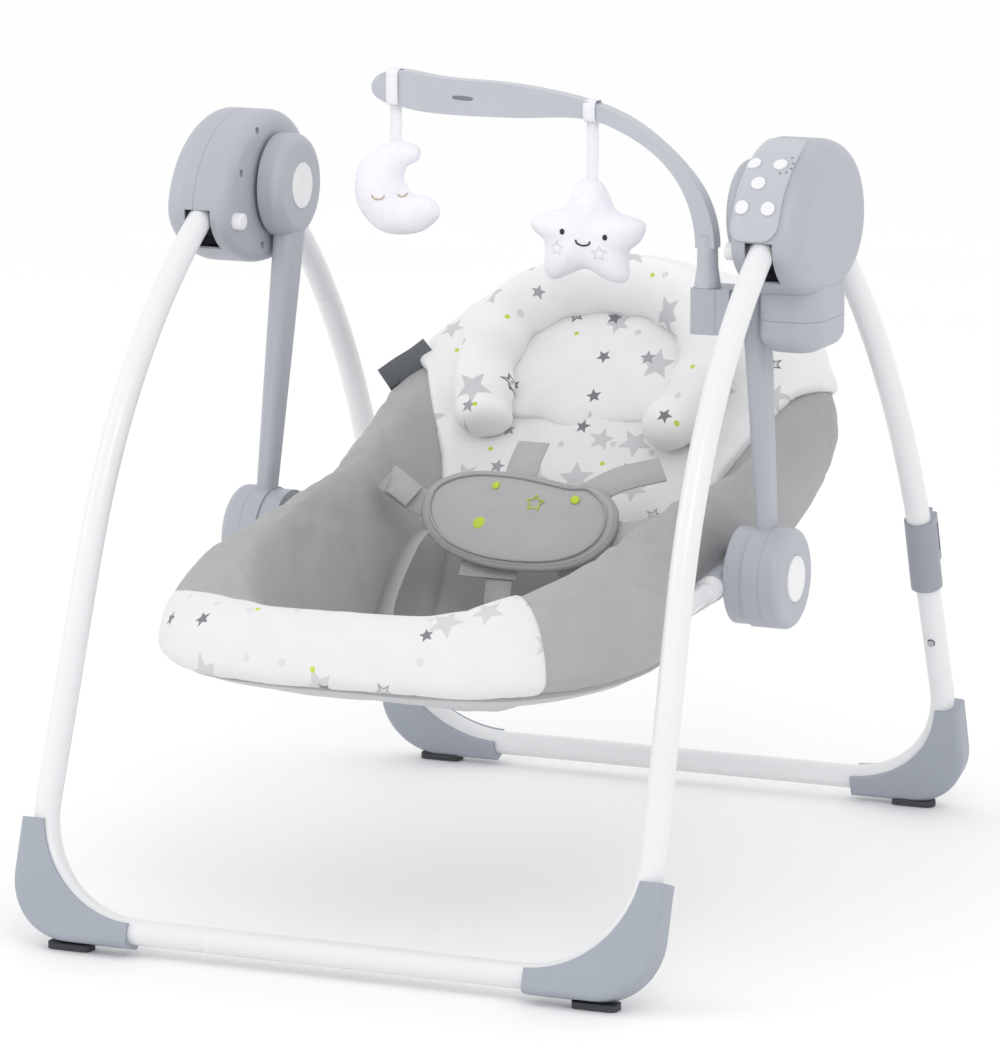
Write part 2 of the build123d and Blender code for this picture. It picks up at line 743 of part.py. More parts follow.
def recline_plates():
    """Inner discs of the recline hubs with the sockets for the seat tubes."""
    with BuildPart() as body:
        for side in SIDES.values():
            with BuildSketch(across(side * 262.2, HUB_Y, HUB_Z)):
                Circle(HUB_R - 2)
            extrude(amount=-side * 19)
            for path in SEAT_PATHS.values():
                start = path @ 0 if side < 0 else path @ 1
                along = path % 0 if side < 0 else -(path % 1)
                with BuildSketch(Plane(origin=start, z_dir=along)):
                    Circle(RING_R + 4)
                extrude(amount=34)
        for path in SEAT_PATHS.values():
            add(tube(path, RING_R + SLEEVE_GAP), mode=Mode.SUBTRACT)
    return body.part


def seat_tube_collars():
    """White collars where the seat tubes leave their sockets."""
    with BuildPart() as body:
        for path in SEAT_PATHS.values():
            for start, along in ((path @ 0, path % 0), (path @ 1, -(path % 1))):
                with BuildSketch(Plane(origin=start + along * 34.2, z_dir=along)):
                    Circle(RING_R + 3)
                    Circle(RING_R + SLEEVE_GAP, mode=Mode.SUBTRACT)
                extrude(amount=18)
    return body.part


def seat_tubes_cut():
    """Room for both seat tubes inside the soft parts."""
    with BuildPart() as body:
        for path in SEAT_PATHS.values():
            add(tube(path, RING_R + 0.3))
    return body.part


# ---------------------------------------------------------------- soft parts, as plain solids
def seat_cushion():
    """Bottom of the seat, from the roll of the front lip to the crease."""
    with BuildPart() as body:
        with BuildSketch(across(0, 0, 0)) as outline:
            with BuildLine():
                Polyline(*SEAT_BED, close=True)
            make_face()
            fillet(outline.vertices(), 5)
        extrude(amount=BED_HALF, both=True)
        add(seat_tubes_cut(), mode=Mode.SUBTRACT)
    return body.part


def back_plane():
    """Front face of the back cushion: local y runs up the back."""
    a = radians(BACK_LEAN)
    return Plane(origin=(0, BACK_FOOT[0], BACK_FOOT[1]), x_dir=(1, 0, 0), z_dir=(0, -sin(a), cos(a)))


def back_cushion():
    """Back of the seat, broad and round at the top."""
    half = [(BED_HALF - 4, 4), (BED_HALF, 240), (BACK_HALF - 20, 285), (BACK_HALF, 330),
            (BACK_HALF, BACK_LEN)]
    with BuildPart() as body:
        with BuildSketch(back_plane()) as outline:
            with BuildLine():
                Polyline(*half, *[(-x, y) for x, y in reversed(half)], close=True)
            make_face()
            fillet(outline.vertices().sort_by(Axis.Y)[-2:], 105)
        extrude(amount=-CUSHION_T)
        add(seat_tubes_cut(), mode=Mode.SUBTRACT)
    return body.part


def side_wings():
    """Padded sides that rise from the seat bed, crest inside the seat tube and fall over it."""
    with BuildPart() as body:
        for side in SIDES.values():
            for x, top in WINGS:
                with BuildSketch(across(side * x, 0, 0)):
                    with BuildLine():
                        Polyline(*top, *[(y, z - CUSHION_T) for y, z in reversed(top)], close=True)
                    make_face()
            loft(ruled=True)
        add(back_cushion(), mode=Mode.SUBTRACT)
        add(seat_tubes_cut(), mode=Mode.SUBTRACT)
        add(recline_room(), mode=Mode.SUBTRACT)
    return body.part


def recline_room():
    """Space round the recline plates that the soft parts leave free."""
    with BuildPart() as body:
        for side in SIDES.values():
            with BuildSketch(across(side * (RING_X - 13.5), HUB_Y, HUB_Z)):
                Circle(HUB_R + 22)
            extrude(amount=side * 60)
    return body.part


def head_pillow():
    """U-shaped pillow with its inner head pad, resting on the back."""
    with BuildPart() as body:
        with BuildSketch(back_plane().offset(0.3)) as outline:
            with Locations((0, 365)):
                RectangleRounded(262, 150, 70)
            with Locations((0, 290)):
                RectangleRounded(60, 40, 18, mode=Mode.SUBTRACT)
        extrude(amount=34)
    return body.part


def strap(start, end, width, thickness=2):
    """Flat strap between two points, its width across the seat."""
    run = Vector(*end) - Vector(*start)
    wide = (1, 0, 0) if abs(run.X) < 40 else (0, -run.Z, run.Y)
    with BuildPart() as body:
        with BuildSketch(Plane(origin=start, x_dir=wide, z_dir=run)):
            Rectangle(width, thickness)
        extrude(amount=run.length)
    return body.part


def harness_straps():
    """Crotch, waist and shoulder straps."""
    with BuildPart() as body:
        for points in STRAPS:
            add(strap(*points, STRAP_WIDTH))
            if points[0][0]:
                mirrored = [(-x, y, z) for x, y, z in points]
                add(strap(*mirrored, STRAP_WIDTH))
    return body.part


def pad_plane():
    return Plane(origin=(0, PAD_Y, PAD_Z), x_dir=(1, 0, 0), z_dir=(0, -sin(radians(52)), cos(radians(52))))


def harness_pad():
    """Bean-shaped pad in front of the buckle."""
    with BuildPart() as body:
        with BuildSketch(pad_plane()):
            RectangleRounded(190, 82, 38)
        extrude(amount=14)
        fillet(body.edges(), 5)
    return body.part


# ---------------------------------------------------------------- toy bar
def toy_bar_socket():
    """Socket bracket on the right arm, with the bore that the toy bar's spigot turns in."""
    with BuildPart() as body:
        with BuildSketch(Plane.XY.offset(SOCKET_BOTTOM)):
            with Locations((POST_X + 14, TOY_Y + 9)):
                Rectangle(26, 42)
            with Locations((POST_X, TOY_Y)):
                RectangleRounded(27, 27, 3)
        extrude(amount=SOCKET_TOP - SOCKET_BOTTOM)
        with BuildSketch(Plane(origin=(POST_X, TOY_Y, SOCKET_TOP))):
            Circle(SPIGOT_R + SLEEVE_GAP)
        extrude(amount=-36, mode=Mode.SUBTRACT)
        add(swing_arm(1), mode=Mode.SUBTRACT)
    return body.part.solids().sort_by(SortBy.VOLUME)[-1]


def toy_bar():
    """Post, arch and leaf-shaped blade in one moulding."""
    with BuildPart() as body:
        with BuildSketch(Plane.XZ.offset(-TOY_Y)):
            with BuildLine():
                over = Spline(*BAR_OVER)
                under = Spline(*BAR_UNDER)
                Line(over @ 1, under @ 0)
            make_face()
        extrude(amount=BLADE_T / 2, both=True)
        with BuildSketch(Plane(origin=(POST_X, TOY_Y, POST_TOP + 12))):
            Circle(10)
        with BuildSketch(Plane(origin=(POST_X, TOY_Y, SOCKET_TOP + 20))):
            Circle(10.5)
        with BuildSketch(Plane(origin=(POST_X, TOY_Y, SOCKET_TOP + 0.3))):
            Circle(13.5)
        loft(ruled=True)
        with BuildSketch(Plane(origin=(POST_X, TOY_Y, SOCKET_TOP + 0.3))):
            Circle(SPIGOT_R)
        extrude(amount=-34)
    return body.part


def ribbon(x, top, bottom):
    """Ribbon that a toy hangs from."""
    with BuildPart() as body:
        with BuildSketch(Plane.XZ.offset(-TOY_Y)):
            with Locations((x, (top + bottom) / 2)):
                Rectangle(RIBBON_WIDTH, top - bottom)
        extrude(amount=0.75, both=True)
    return body.part


def moon_toy():
    """Crescent moon with its ribbon."""
    x, z = MOON
    with BuildPart() as body:
        with BuildSketch(Plane.XZ.offset(-TOY_Y)) as outline:
            with Locations((x, z)):
                Circle(47)
            with Locations((x + 38, z + 20)):
                Circle(28, mode=Mode.SUBTRACT)
            fillet(outline.vertices(), 8)
        extrude(amount=TOY_T / 2, both=True)
        fillet(body.edges().filter_by(lambda e: e.center().Y != TOY_Y), 9)
    return Compound(label="", children=[body.part, ribbon(x, 766.4, z + 47)])


def star_toy():
    """Five-pointed star with its ribbon."""
    x, z = STAR
    tips = [(r, radians(90 + 36 * i)) for i, r in enumerate([60, 36] * 5)]
    with BuildPart() as body:
        with BuildSketch(Plane.XZ.offset(-TOY_Y)) as outline:
            with BuildLine():
                Polyline(*[(x + r * cos(a), z + r * sin(a) - 4) for r, a in tips], close=True)
            make_face()
            fillet(outline.vertices(), 9)
        extrude(amount=TOY_T / 2, both=True)
        fillet(body.edges().filter_by(lambda e: abs(e.center().Y - TOY_Y) > 1), 8)
    return Compound(label="", children=[body.part, ribbon(x, 766.4, z + 54)])


# ---------------------------------------------------------------- storage latch
def latch_plane():
    """Plane across the right rear leg tube at the latch."""
    z = LATCH_Z
    tilt = atan(REAR["slope"])
    return Plane(origin=(leg_x(z), REAR_LATCH_Y, z), x_dir=(1, 0, 0), z_dir=(0, -sin(tilt), cos(tilt)))


def latch_clamp():
    """Clamp round the right rear leg, with the lug that the storage hook turns on."""
    with BuildPart() as body:
        with BuildSketch(latch_plane().offset(-39)):
            Circle(TUBE_R + 4)
            with Locations((0, 20)):
                Rectangle(9, 14)
        extrude(amount=78)
        add(tube(leg_path(REAR, 1), TUBE_R + 0.1), mode=Mode.SUBTRACT)
        with BuildSketch(latch_plane().offset(-27)):
            with Locations((0, 30)):
                Rectangle(40, 30)
        extrude(amount=54, mode=Mode.SUBTRACT)
    return body.part


def storage_hook():
    """Slotted hook on the clamp that holds the folded legs together."""
    with BuildPart() as body:
        with BuildSketch(latch_plane().offset(-26.5)):
            with Locations((0, 30)):
                RectangleRounded(9, 22, 3)
        extrude(amount=53)
        with BuildSketch(latch_plane().offset(-17)):
            with Locations((0, 32)):
                Rectangle(20, 12)
        extrude(amount=34, mode=Mode.SUBTRACT)
    return body.part


# ---------------------------------------------------------------- pieces
for side_name, side in SIDES.items():
    for key, shell in housing_sides(side).items():
        save(shell, f"housing_{key}_shell_{side_name}")
    save(swing_arm(side), f"swing_arm_{side_name}")
    save(recline_button(side), f"recline_button_{side_name}")
    save(leg_lock(side, FRONT_LOCK), f"front_leg_lock_{side_name}")
    save(leg_lock(side, REAR_LOCK), f"rear_leg_lock_{side_name}")

for leg_name, leg, hinge in (("front", FRONT, FRONT_HINGE), ("rear", REAR, REAR_HINGE)):
    save(leg_tubes(leg), f"{leg_name}_leg_tubes")
    save(base_tube(leg), f"{leg_name}_base_tube")
    save(corner_feet(leg), f"{leg_name}_feet")
    save(foot_pads(leg), f"{leg_name}_foot_pads")
    save(knuckles(leg, hinge), f"{leg_name}_leg_knuckles")
    save(snap_buttons(leg), f"{leg_name}_snap_buttons")

for half_name, path in SEAT_PATHS.items():
    save(tube(path, RING_R, RING_R - 1.5), f"seat_tube_{half_name}")

for button_name, plane in zip(("volume", "speed", "power", "music", "timer"), button_planes()):
    save(control_button(plane), f"{button_name}_button")

save(control_panel(), "control_panel")
save(case_screws(), "case_screws")
save(leg_hinge_pins(), "leg_hinge_pins")
save(pivot_bushes(), "pivot_bushes")
save(pivot_shafts(), "pivot_shafts")
save(drive_magnet(), "drive_magnet")
save(drive_coil(), "drive_coil")
save(circuit_board(), "circuit_board")
save(speaker(), "speaker")
save(battery_bowl(False), "battery_case")
save(battery_bowl(True), "battery_door")
save(battery_cells(), "battery_cells")
save(battery_contacts(), "battery_contacts")
save(pivot_caps(), "pivot_caps")
save(recline_covers(), "recline_covers")
save(recline_plates(), "recline_plates")
save(seat_tube_collars(), "seat_tube_collars")
save(seat_cushion(), "seat_cushion")
save(back_cushion(), "back_cushion")
save(side_wings(), "side_wings")
save(head_pillow(), "head_pillow")
save(harness_straps(), "harness_straps")
save(harness_pad(), "harness_pad")
save(toy_bar_socket(), "toy_bar_socket")
save(toy_bar(), "toy_bar")
save(moon_toy(), "moon_toy")
save(star_toy(), "star_toy")
save(latch_clamp(), "latch_clamp")
save(storage_hook(), "storage_hook")
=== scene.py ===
import json
from math import cos, pi, radians, sin

import bpy
import numpy as np
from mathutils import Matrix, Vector, noise


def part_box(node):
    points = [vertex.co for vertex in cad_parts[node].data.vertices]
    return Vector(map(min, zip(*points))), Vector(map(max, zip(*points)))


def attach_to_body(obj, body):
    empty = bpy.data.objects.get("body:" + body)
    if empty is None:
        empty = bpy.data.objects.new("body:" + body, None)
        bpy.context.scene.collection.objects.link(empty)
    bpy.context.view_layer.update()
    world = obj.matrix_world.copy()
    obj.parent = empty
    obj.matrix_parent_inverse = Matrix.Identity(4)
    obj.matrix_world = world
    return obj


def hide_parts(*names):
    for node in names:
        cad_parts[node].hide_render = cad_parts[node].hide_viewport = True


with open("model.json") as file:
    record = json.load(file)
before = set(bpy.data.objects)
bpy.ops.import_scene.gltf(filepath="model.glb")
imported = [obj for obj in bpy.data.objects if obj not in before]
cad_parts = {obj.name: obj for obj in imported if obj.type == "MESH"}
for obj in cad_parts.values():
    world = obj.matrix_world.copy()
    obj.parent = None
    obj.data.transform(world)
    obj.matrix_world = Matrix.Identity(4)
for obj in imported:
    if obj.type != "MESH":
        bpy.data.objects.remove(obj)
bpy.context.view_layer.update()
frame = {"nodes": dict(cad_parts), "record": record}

# ---------------------------------------------------------------- colours and node helpers


def srgb(red, green, blue):
    """Linear colour of an 8-bit screen colour."""
    values = [c / 255 for c in (red, green, blue)]
    return (*[c / 12.92 if c <= 0.04045 else ((c + 0.055) / 1.055) ** 2.4 for c in values], 1.0)


def scaled(colour, share):
    """The same colour, lighter or darker by a factor."""
    return (*[min(1.0, c * share) for c in colour[:3]], 1.0)


class Graph:
    """Short ways to add nodes to one material."""

    def __init__(self, name):
        self.material = bpy.data.materials.new(name)
        self.material.use_nodes = True
        self.tree = self.material.node_tree
        self.shader = self.tree.nodes["Principled BSDF"]

    def put(self, socket, value):
        if isinstance(value, bpy.types.NodeSocket):
            self.tree.links.new(value, socket)
        else:
            socket.default_value = value

    def finish(self, **inputs):
        for name, value in inputs.items():
            self.put(self.shader.inputs[name.replace("_", " ")], value)
        return self.material

    def math(self, operation, a, b=0.0, c=0.0):
        node = self.tree.nodes.new("ShaderNodeMath")
        node.operation = operation
        for socket, value in zip(node.inputs, (a, b, c)):
            self.put(socket, value)
        return node.outputs[0]

    def vector(self, operation, a, b=(0.0, 0.0, 0.0), c=(0.0, 0.0, 0.0)):
        node = self.tree.nodes.new("ShaderNodeVectorMath")
        node.operation = operation
        for socket, value in zip(node.inputs, (a, b, c)):
            self.put(socket, value)
        return node.outputs["Value" if operation == "LENGTH" else "Vector"]

    def parts(self, vector):
        node = self.tree.nodes.new("ShaderNodeSeparateXYZ")
        self.put(node.inputs[0], vector)
        return node.outputs

    def place(self, stretch=(1.0, 1.0, 1.0)):
        coordinates = self.tree.nodes.new("ShaderNodeTexCoord").outputs["Object"]
        return self.vector("MULTIPLY", coordinates, stretch)

    def attribute(self, name):
        node = self.tree.nodes.new("ShaderNodeAttribute")
        node.attribute_name = name
        return node.outputs["Vector"]

    def noise(self, place, scale, detail=3.0, roughness=0.5):
        node = self.tree.nodes.new("ShaderNodeTexNoise")
        self.put(node.inputs["Vector"], place)
        node.inputs["Scale"].default_value = scale
        node.inputs["Detail"].default_value = detail
        node.inputs["Roughness"].default_value = roughness
        return node.outputs["Fac"]

    def range(self, value, low, high, start=0.3, end=0.7):
        node = self.tree.nodes.new("ShaderNodeMapRange")
        self.put(node.inputs["Value"], value)
        node.inputs["From Min"].default_value = start
        node.inputs["From Max"].default_value = end
        node.inputs["To Min"].default_value = low
        node.inputs["To Max"].default_value = high
        return node.outputs["Result"]

    def mix(self, share, first, second):
        node = self.tree.nodes.new("ShaderNodeMix")
        node.data_type = "RGBA"
        self.put(node.inputs[0], share)
        self.put(node.inputs[6], first)
        self.put(node.inputs[7], second)
        return node.outputs[2]

    def bump(self, height, strength, distance, normal=None):
        node = self.tree.nodes.new("ShaderNodeBump")
        self.put(node.inputs["Height"], height)
        node.inputs["Strength"].default_value = strength
        node.inputs["Distance"].default_value = distance
        if normal is not None:
            self.put(node.inputs["Normal"], normal)
        return node.outputs["Normal"]


# ---------------------------------------------------------------- materials
# how steeply a printed star's edge runs from its tips down to its notches
STAR_SLOPE = 2.404


def moulded(name, colour, roughness=0.42, grain=0.12):
    """Injection-moulded plastic with a fine spark texture."""
    g = Graph(name)
    broad = g.noise(g.place(), 14.0)
    fine = g.noise(g.place(), 1500.0, 2.0)
    return g.finish(
        Base_Color=g.mix(g.range(broad, 0.0, 1.0), scaled(colour, 0.97), scaled(colour, 1.03)),
        Roughness=g.range(broad, roughness - 0.03, roughness + 0.04),
        Normal=g.bump(fine, grain, 0.0003),
    )


def powder_coat(name, colour):
    """Baked white coat with slight orange peel."""
    g = Graph(name)
    peel = g.noise(g.place(), 420.0, 1.0)
    broad = g.noise(g.place(), 9.0)
    return g.finish(
        Base_Color=g.mix(g.range(broad, 0.0, 1.0), scaled(colour, 0.98), colour),
        Roughness=g.range(broad, 0.26, 0.33),
        Normal=g.bump(peel, 0.08, 0.0004),
        Coat_Weight=0.25,
        Coat_Roughness=0.15,
    )


def velour(name, colour, contrast=0.05):
    """Short brushed pile: broad lighter and darker strokes over a fine nap."""
    g = Graph(name)
    strokes = g.noise(g.place((1.0, 0.55, 1.6)), 16.0, 5.0, 0.6)
    nap = g.noise(g.place(), 1100.0, 3.0, 0.7)
    threads = g.noise(g.place((0.5, 1.0, 2.0)), 240.0, 4.0, 0.6)
    soft = g.bump(g.noise(g.place(), 60.0, 3.0), 0.12, 0.002)
    return g.finish(
        Base_Color=g.mix(
            g.range(threads, 0.0, 1.0),
            g.mix(g.range(strokes, 0.0, 1.0), scaled(colour, 1 - contrast), colour),
            g.mix(g.range(strokes, 0.0, 1.0), colour, scaled(colour, 1 + contrast)),
        ),
        Roughness=g.range(strokes, 0.86, 0.95),
        Normal=g.bump(nap, 0.35, 0.0006, soft),
        Sheen_Weight=0.28,
        Sheen_Roughness=0.45,
        Sheen_Tint=scaled(colour, 1.5),
        Specular_IOR_Level=0.15,
    )


def webbing(name, colour):
    """Woven tape, ribbed across its width."""
    g = Graph(name)
    along = g.parts(g.attribute("print"))
    ribs = g.math("SINE", g.math("MULTIPLY", along[1], 2 * pi / 0.0022))
    threads = g.math("SINE", g.math("MULTIPLY", along[0], 2 * pi / 0.0011))
    weave = g.math("MULTIPLY_ADD", threads, 0.35, ribs)
    fibre = g.noise(g.place(), 900.0, 3.0)
    shade = g.math("MULTIPLY_ADD", ribs, 0.25, g.range(fibre, 0.2, 0.8))
    return g.finish(
        Base_Color=g.mix(shade, scaled(colour, 0.9), scaled(colour, 1.06)),
        Roughness=g.range(fibre, 0.8, 0.92),
        Normal=g.bump(weave, 0.5, 0.0003),
        Specular_IOR_Level=0.2,
    )


def plush(name, colour):
    """Short-haired plush with a little curl."""
    g = Graph(name)
    tufts = g.noise(g.place(), 130.0, 4.0, 0.65)
    hair = g.noise(g.place(), 900.0, 3.0, 0.7)
    return g.finish(
        Base_Color=g.mix(g.range(tufts, 0.0, 1.0), scaled(colour, 0.965), scaled(colour, 1.02)),
        Roughness=g.range(hair, 0.85, 0.97),
        Normal=g.bump(hair, 0.4, 0.0008, g.bump(tufts, 0.35, 0.0025)),
        Sheen_Weight=0.3,
        Sheen_Roughness=0.5,
        Specular_IOR_Level=0.1,
    )


def scatter(g, place, cell, share, shift):
    """Print motifs strewn over cloth: offset to the nearest one, its random numbers, and if it shows."""
    loose = g.vector("MULTIPLY_ADD", place, (1 / cell, 1 / cell, 0.0), shift)
    node = g.tree.nodes.new("ShaderNodeTexVoronoi")
    node.voronoi_dimensions = "2D"
    node.feature = "F1"
    g.put(node.inputs["Vector"], loose)
    node.inputs["Scale"].default_value = 1.0
    node.inputs["Randomness"].default_value = 0.55
    away = g.vector("SUBTRACT", loose, node.outputs["Position"])
    flat = g.vector("MULTIPLY", away, (1.0, 1.0, 0.0))
    lot = g.parts(node.outputs["Color"])
    return flat, lot, g.math("LESS_THAN", lot[1], share)


def star_reach(g, flat, lot, radius):
    """Distance from a star's middle as a share of its outline; the radius is in cells."""
    axes = g.parts(flat)
    turn = g.math("ARCTAN2", axes[1], axes[0])
    turned = g.math("MULTIPLY_ADD", lot[0], 2 * pi, turn)
    folded = g.math("PINGPONG", turned, pi / 5)
    edge = g.math("MULTIPLY_ADD", g.math("SINE", folded), STAR_SLOPE, g.math("COSINE", folded))
    size = g.math("MULTIPLY_ADD", lot[2], 0.35 * radius, 0.8 * radius)
    return g.math("DIVIDE", g.math("MULTIPLY", g.vector("LENGTH", flat), edge), size)


def dots(g, place, cell, radius, share, shift):
    """Round dots strewn over cloth."""
    flat, lot, chosen = scatter(g, place, cell, share, shift)
    return g.math("MULTIPLY", g.math("LESS_THAN", g.vector("LENGTH", flat), radius / cell), chosen)


def star_cotton(name, ground, wrinkle=0.25):
    """White cotton printed with grey stars, sketched stars, lime dots and grey dots."""
    g = Graph(name)
    place = g.attribute("print")
    weave = g.noise(g.place(), 1300.0, 2.0)
    colour = g.mix(g.range(g.noise(g.place(), 30.0), 0.0, 1.0), scaled(ground, 0.985), ground)
    flat, lot, chosen = scatter(g, place, 0.060, 0.52, (3.2, 7.7, 0.0))
    reach = star_reach(g, flat, lot, 0.0175 / 0.060)
    big = g.math("MULTIPLY", g.math("LESS_THAN", reach, 1.0), chosen)
    colour = g.mix(big, colour, srgb(205, 206, 208))
    flat, lot, chosen = scatter(g, place, 0.046, 0.36, (11.4, 2.3, 0.0))
    reach = star_reach(g, flat, lot, 0.0092 / 0.046)
    inside = g.math("MULTIPLY", g.math("LESS_THAN", reach, 1.0), chosen)
    hollow = g.math("MULTIPLY", g.math("LESS_THAN", reach, 0.62), g.math("GREATER_THAN", lot[2], 0.62))
    scribble = g.math("GREATER_THAN", g.noise(g.vector("MULTIPLY", place, (3.0, 1.0, 0.0)), 420.0), 0.47)
    inked = g.math("MULTIPLY", inside, g.math("SUBTRACT", 1.0, g.math("MULTIPLY", hollow, scribble)))
    shade = g.mix(g.math("GREATER_THAN", lot[0], 0.5), srgb(128, 129, 132), srgb(164, 165, 168))
    colour = g.mix(inked, colour, shade)
    lime = dots(g, place, 0.058, 0.0026, 0.34, (5.1, 13.9, 0.0))
    colour = g.mix(lime, colour, srgb(196, 214, 84))
    grey = dots(g, place, 0.047, 0.0036, 0.3, (17.6, 4.8, 0.0))
    colour = g.mix(grey, colour, srgb(214, 215, 217))
    creases = g.bump(g.noise(g.place(), 24.0, 4.0, 0.55), wrinkle, 0.006)
    return g.finish(
        Base_Color=colour,
        Roughness=g.range(weave, 0.82, 0.92),
        Normal=g.bump(weave, 0.2, 0.0003, creases),
        Sheen_Weight=0.08,
        Specular_IOR_Level=0.2,
    )


def ink(name, colour):
    """Embroidery thread."""
    g = Graph(name)
    strands = g.noise(g.place((1.0, 1.0, 3.0)), 1800.0, 2.0)
    return g.finish(
        Base_Color=g.mix(g.range(strands, 0.0, 1.0), scaled(colour, 0.85), scaled(colour, 1.1)),
        Roughness=g.range(strands, 0.55, 0.75),
        Normal=g.bump(strands, 0.4, 0.0003),
    )


def metal(name, colour, roughness=0.3):
    """Bare metal, faintly brushed."""
    g = Graph(name)
    brushed = g.noise(g.place((1.0, 1.0, 12.0)), 160.0, 4.0)
    return g.finish(
        Base_Color=g.mix(g.range(brushed, 0.0, 1.0), scaled(colour, 0.92), colour),
        Roughness=g.range(brushed, roughness - 0.06, roughness + 0.08),
        Metallic=1.0,
        Normal=g.bump(brushed, 0.05, 0.0002),
    )


GREY_CLOTH = srgb(170, 170, 171)
finishes = {
    "housing_plastic": moulded("housing_plastic", srgb(172, 176, 184)),
    "panel_plastic": moulded("panel_plastic", srgb(184, 188, 195), 0.36),
    "foot_plastic": moulded("foot_plastic", srgb(158, 164, 174), 0.45),
    "clamp_plastic": moulded("clamp_plastic", srgb(150, 155, 164), 0.45),
    "knuckle_plastic": moulded("knuckle_plastic", srgb(165, 169, 176), 0.45),
    "white_plastic": moulded("white_plastic", srgb(232, 232, 234), 0.35, 0.06),
    "white_powder_coat": powder_coat("white_powder_coat", srgb(229, 230, 232)),
    "foot_rubber": moulded("foot_rubber", srgb(64, 66, 70), 0.75, 0.3),
    "steel": metal("steel", srgb(190, 192, 196)),
    "bush_plastic": moulded("bush_plastic", srgb(225, 222, 212), 0.5),
    "magnet": metal("magnet", srgb(150, 152, 156), 0.45),
    "copper_coil": metal("copper_coil", srgb(196, 118, 76), 0.35),
    "board": moulded("board", srgb(40, 98, 66), 0.4),
    "speaker_case": moulded("speaker_case", srgb(38, 39, 42), 0.5),
    "cell_sleeve": moulded("cell_sleeve", srgb(70, 74, 84), 0.35),
    "contact_metal": metal("contact_metal", srgb(205, 206, 208), 0.25),
    "grey_velour": velour("grey_velour", GREY_CLOTH),
    "grey_webbing": webbing("grey_webbing", srgb(182, 182, 183)),
    "star_cotton": star_cotton("star_cotton", srgb(236, 236, 237)),
    # the front lip's cotton is the same star print made darker: painted shade that tones down the upturned
    # lip, which catches more light than the back
    "lip_cotton": star_cotton("lip_cotton", srgb(226, 226, 228)),
    "white_cotton": star_cotton("white_cotton", srgb(240, 240, 241), 0.12),
    "toy_plush": plush("toy_plush", srgb(240, 239, 246)),
}
lining = velour("pouch_lining", srgb(196, 197, 199), 0.03)
piping_cloth = velour("piping_cloth", srgb(166, 166, 168), 0.04)
pad_cloth = velour("pad_cloth", srgb(178, 178, 179), 0.04)
tag_cloth = webbing("tag_cloth", srgb(112, 116, 120))
tag_edge = webbing("tag_edge", srgb(44, 46, 50))
lime_thread = ink("lime_thread", srgb(188, 212, 70))
dark_thread = ink("dark_thread", srgb(38, 40, 52))
tan_thread = ink("tan_thread", srgb(188, 172, 150))
pale_thread = ink("pale_thread", srgb(226, 228, 226))
satin = webbing("satin_ribbon", srgb(240, 240, 246))
slot_shadow = moulded("slot_shadow", srgb(120, 124, 130), 0.6)
lamp_glass = moulded("lamp_glass", srgb(122, 128, 138), 0.25, 0.02)

for subpart in frame["record"]["subparts"]:
    node = frame["nodes"][subpart["node"]]
    node.data.materials.clear()
    node.data.materials.append(finishes[subpart["material_slot"]])

# ---------------------------------------------------------------- mesh helpers


def add_mesh(name, vertices, faces, material, printed=None):
    """Smooth mesh object, with the place of each point on the cloth's print."""
    mesh = bpy.data.meshes.new(name)
    mesh.from_pydata([tuple(map(float, v)) for v in vertices], [], [list(map(int, f)) for f in faces])
    mesh.validate()
    mesh.update()
    mesh.polygons.foreach_set("use_smooth", [True] * len(mesh.polygons))
    if printed is not None:
        flat = np.zeros((len(vertices), 3), np.float32)
        flat[:, :2] = printed
        attribute = mesh.attributes.new("print", "FLOAT_VECTOR", "POINT")
        attribute.data.foreach_set("vector", flat.ravel())
    mesh.materials.append(material)
    obj = bpy.data.objects.new(name, mesh)
    bpy.context.scene.collection.objects.link(obj)
    return obj


def spline(p0, p1, p2, p3, t):
    """Smooth curve from p1 to p2 that also heeds the points before and after them."""
    return 0.5 * (2 * p1 + (p2 - p0) * t + (2 * p0 - 5 * p1 + 4 * p2 - p3) * t**2
                  + (3 * p1 - p0 - 3 * p2 + p3) * t**3)


def through(points, count, closed=False):
    """Points on a smooth curve through the given ones."""
    points = np.array(points, float)
    n = len(points)
    spans = n if closed else n - 1
    at = np.linspace(0, spans, count, endpoint=not closed)
    i = np.minimum(np.floor(at).astype(int), spans - 1)
    t = (at - i)[:, None]

    def pick(k):
        return points[(i + k) % n] if closed else points[np.clip(i + k, 0, n - 1)]

    return spline(pick(-1), pick(0), pick(1), pick(2), t)


def unit(vectors):
    vectors = np.asarray(vectors, float)
    return vectors / np.maximum(np.linalg.norm(vectors, axis=-1, keepdims=True), 1e-12)


def lengths(points):
    """Distance of each point from the first, measured along them."""
    return np.concatenate([[0], np.cumsum(np.linalg.norm(np.diff(points, axis=0), axis=1))])


def grid_faces(rows, columns, wrap=False):
    """Quads of a grid of points, which may close on itself along its rows."""
    i, j = np.meshgrid(np.arange(rows if wrap else rows - 1), np.arange(columns - 1), indexing="ij")
    i, j = i.ravel(), j.ravel()
    k = (i + 1) % rows
    return np.stack([i * columns + j, k * columns + j, k * columns + j + 1, i * columns + j + 1], 1)


def bands(loops, sides, closed=False):
    """Quads between neighbouring loops of points that all have the same number of sides."""
    faces = []
    for k in range(loops if closed else loops - 1):
        m = (k + 1) % loops
        for a in range(sides):
            b = (a + 1) % sides
            faces.append([k * sides + a, k * sides + b, m * sides + b, m * sides + a])
    return faces


def end_caps(loops, sides):
    """Faces that close the first and the last loop."""
    return [list(range(sides))[::-1], [(loops - 1) * sides + a for a in range(sides)]]


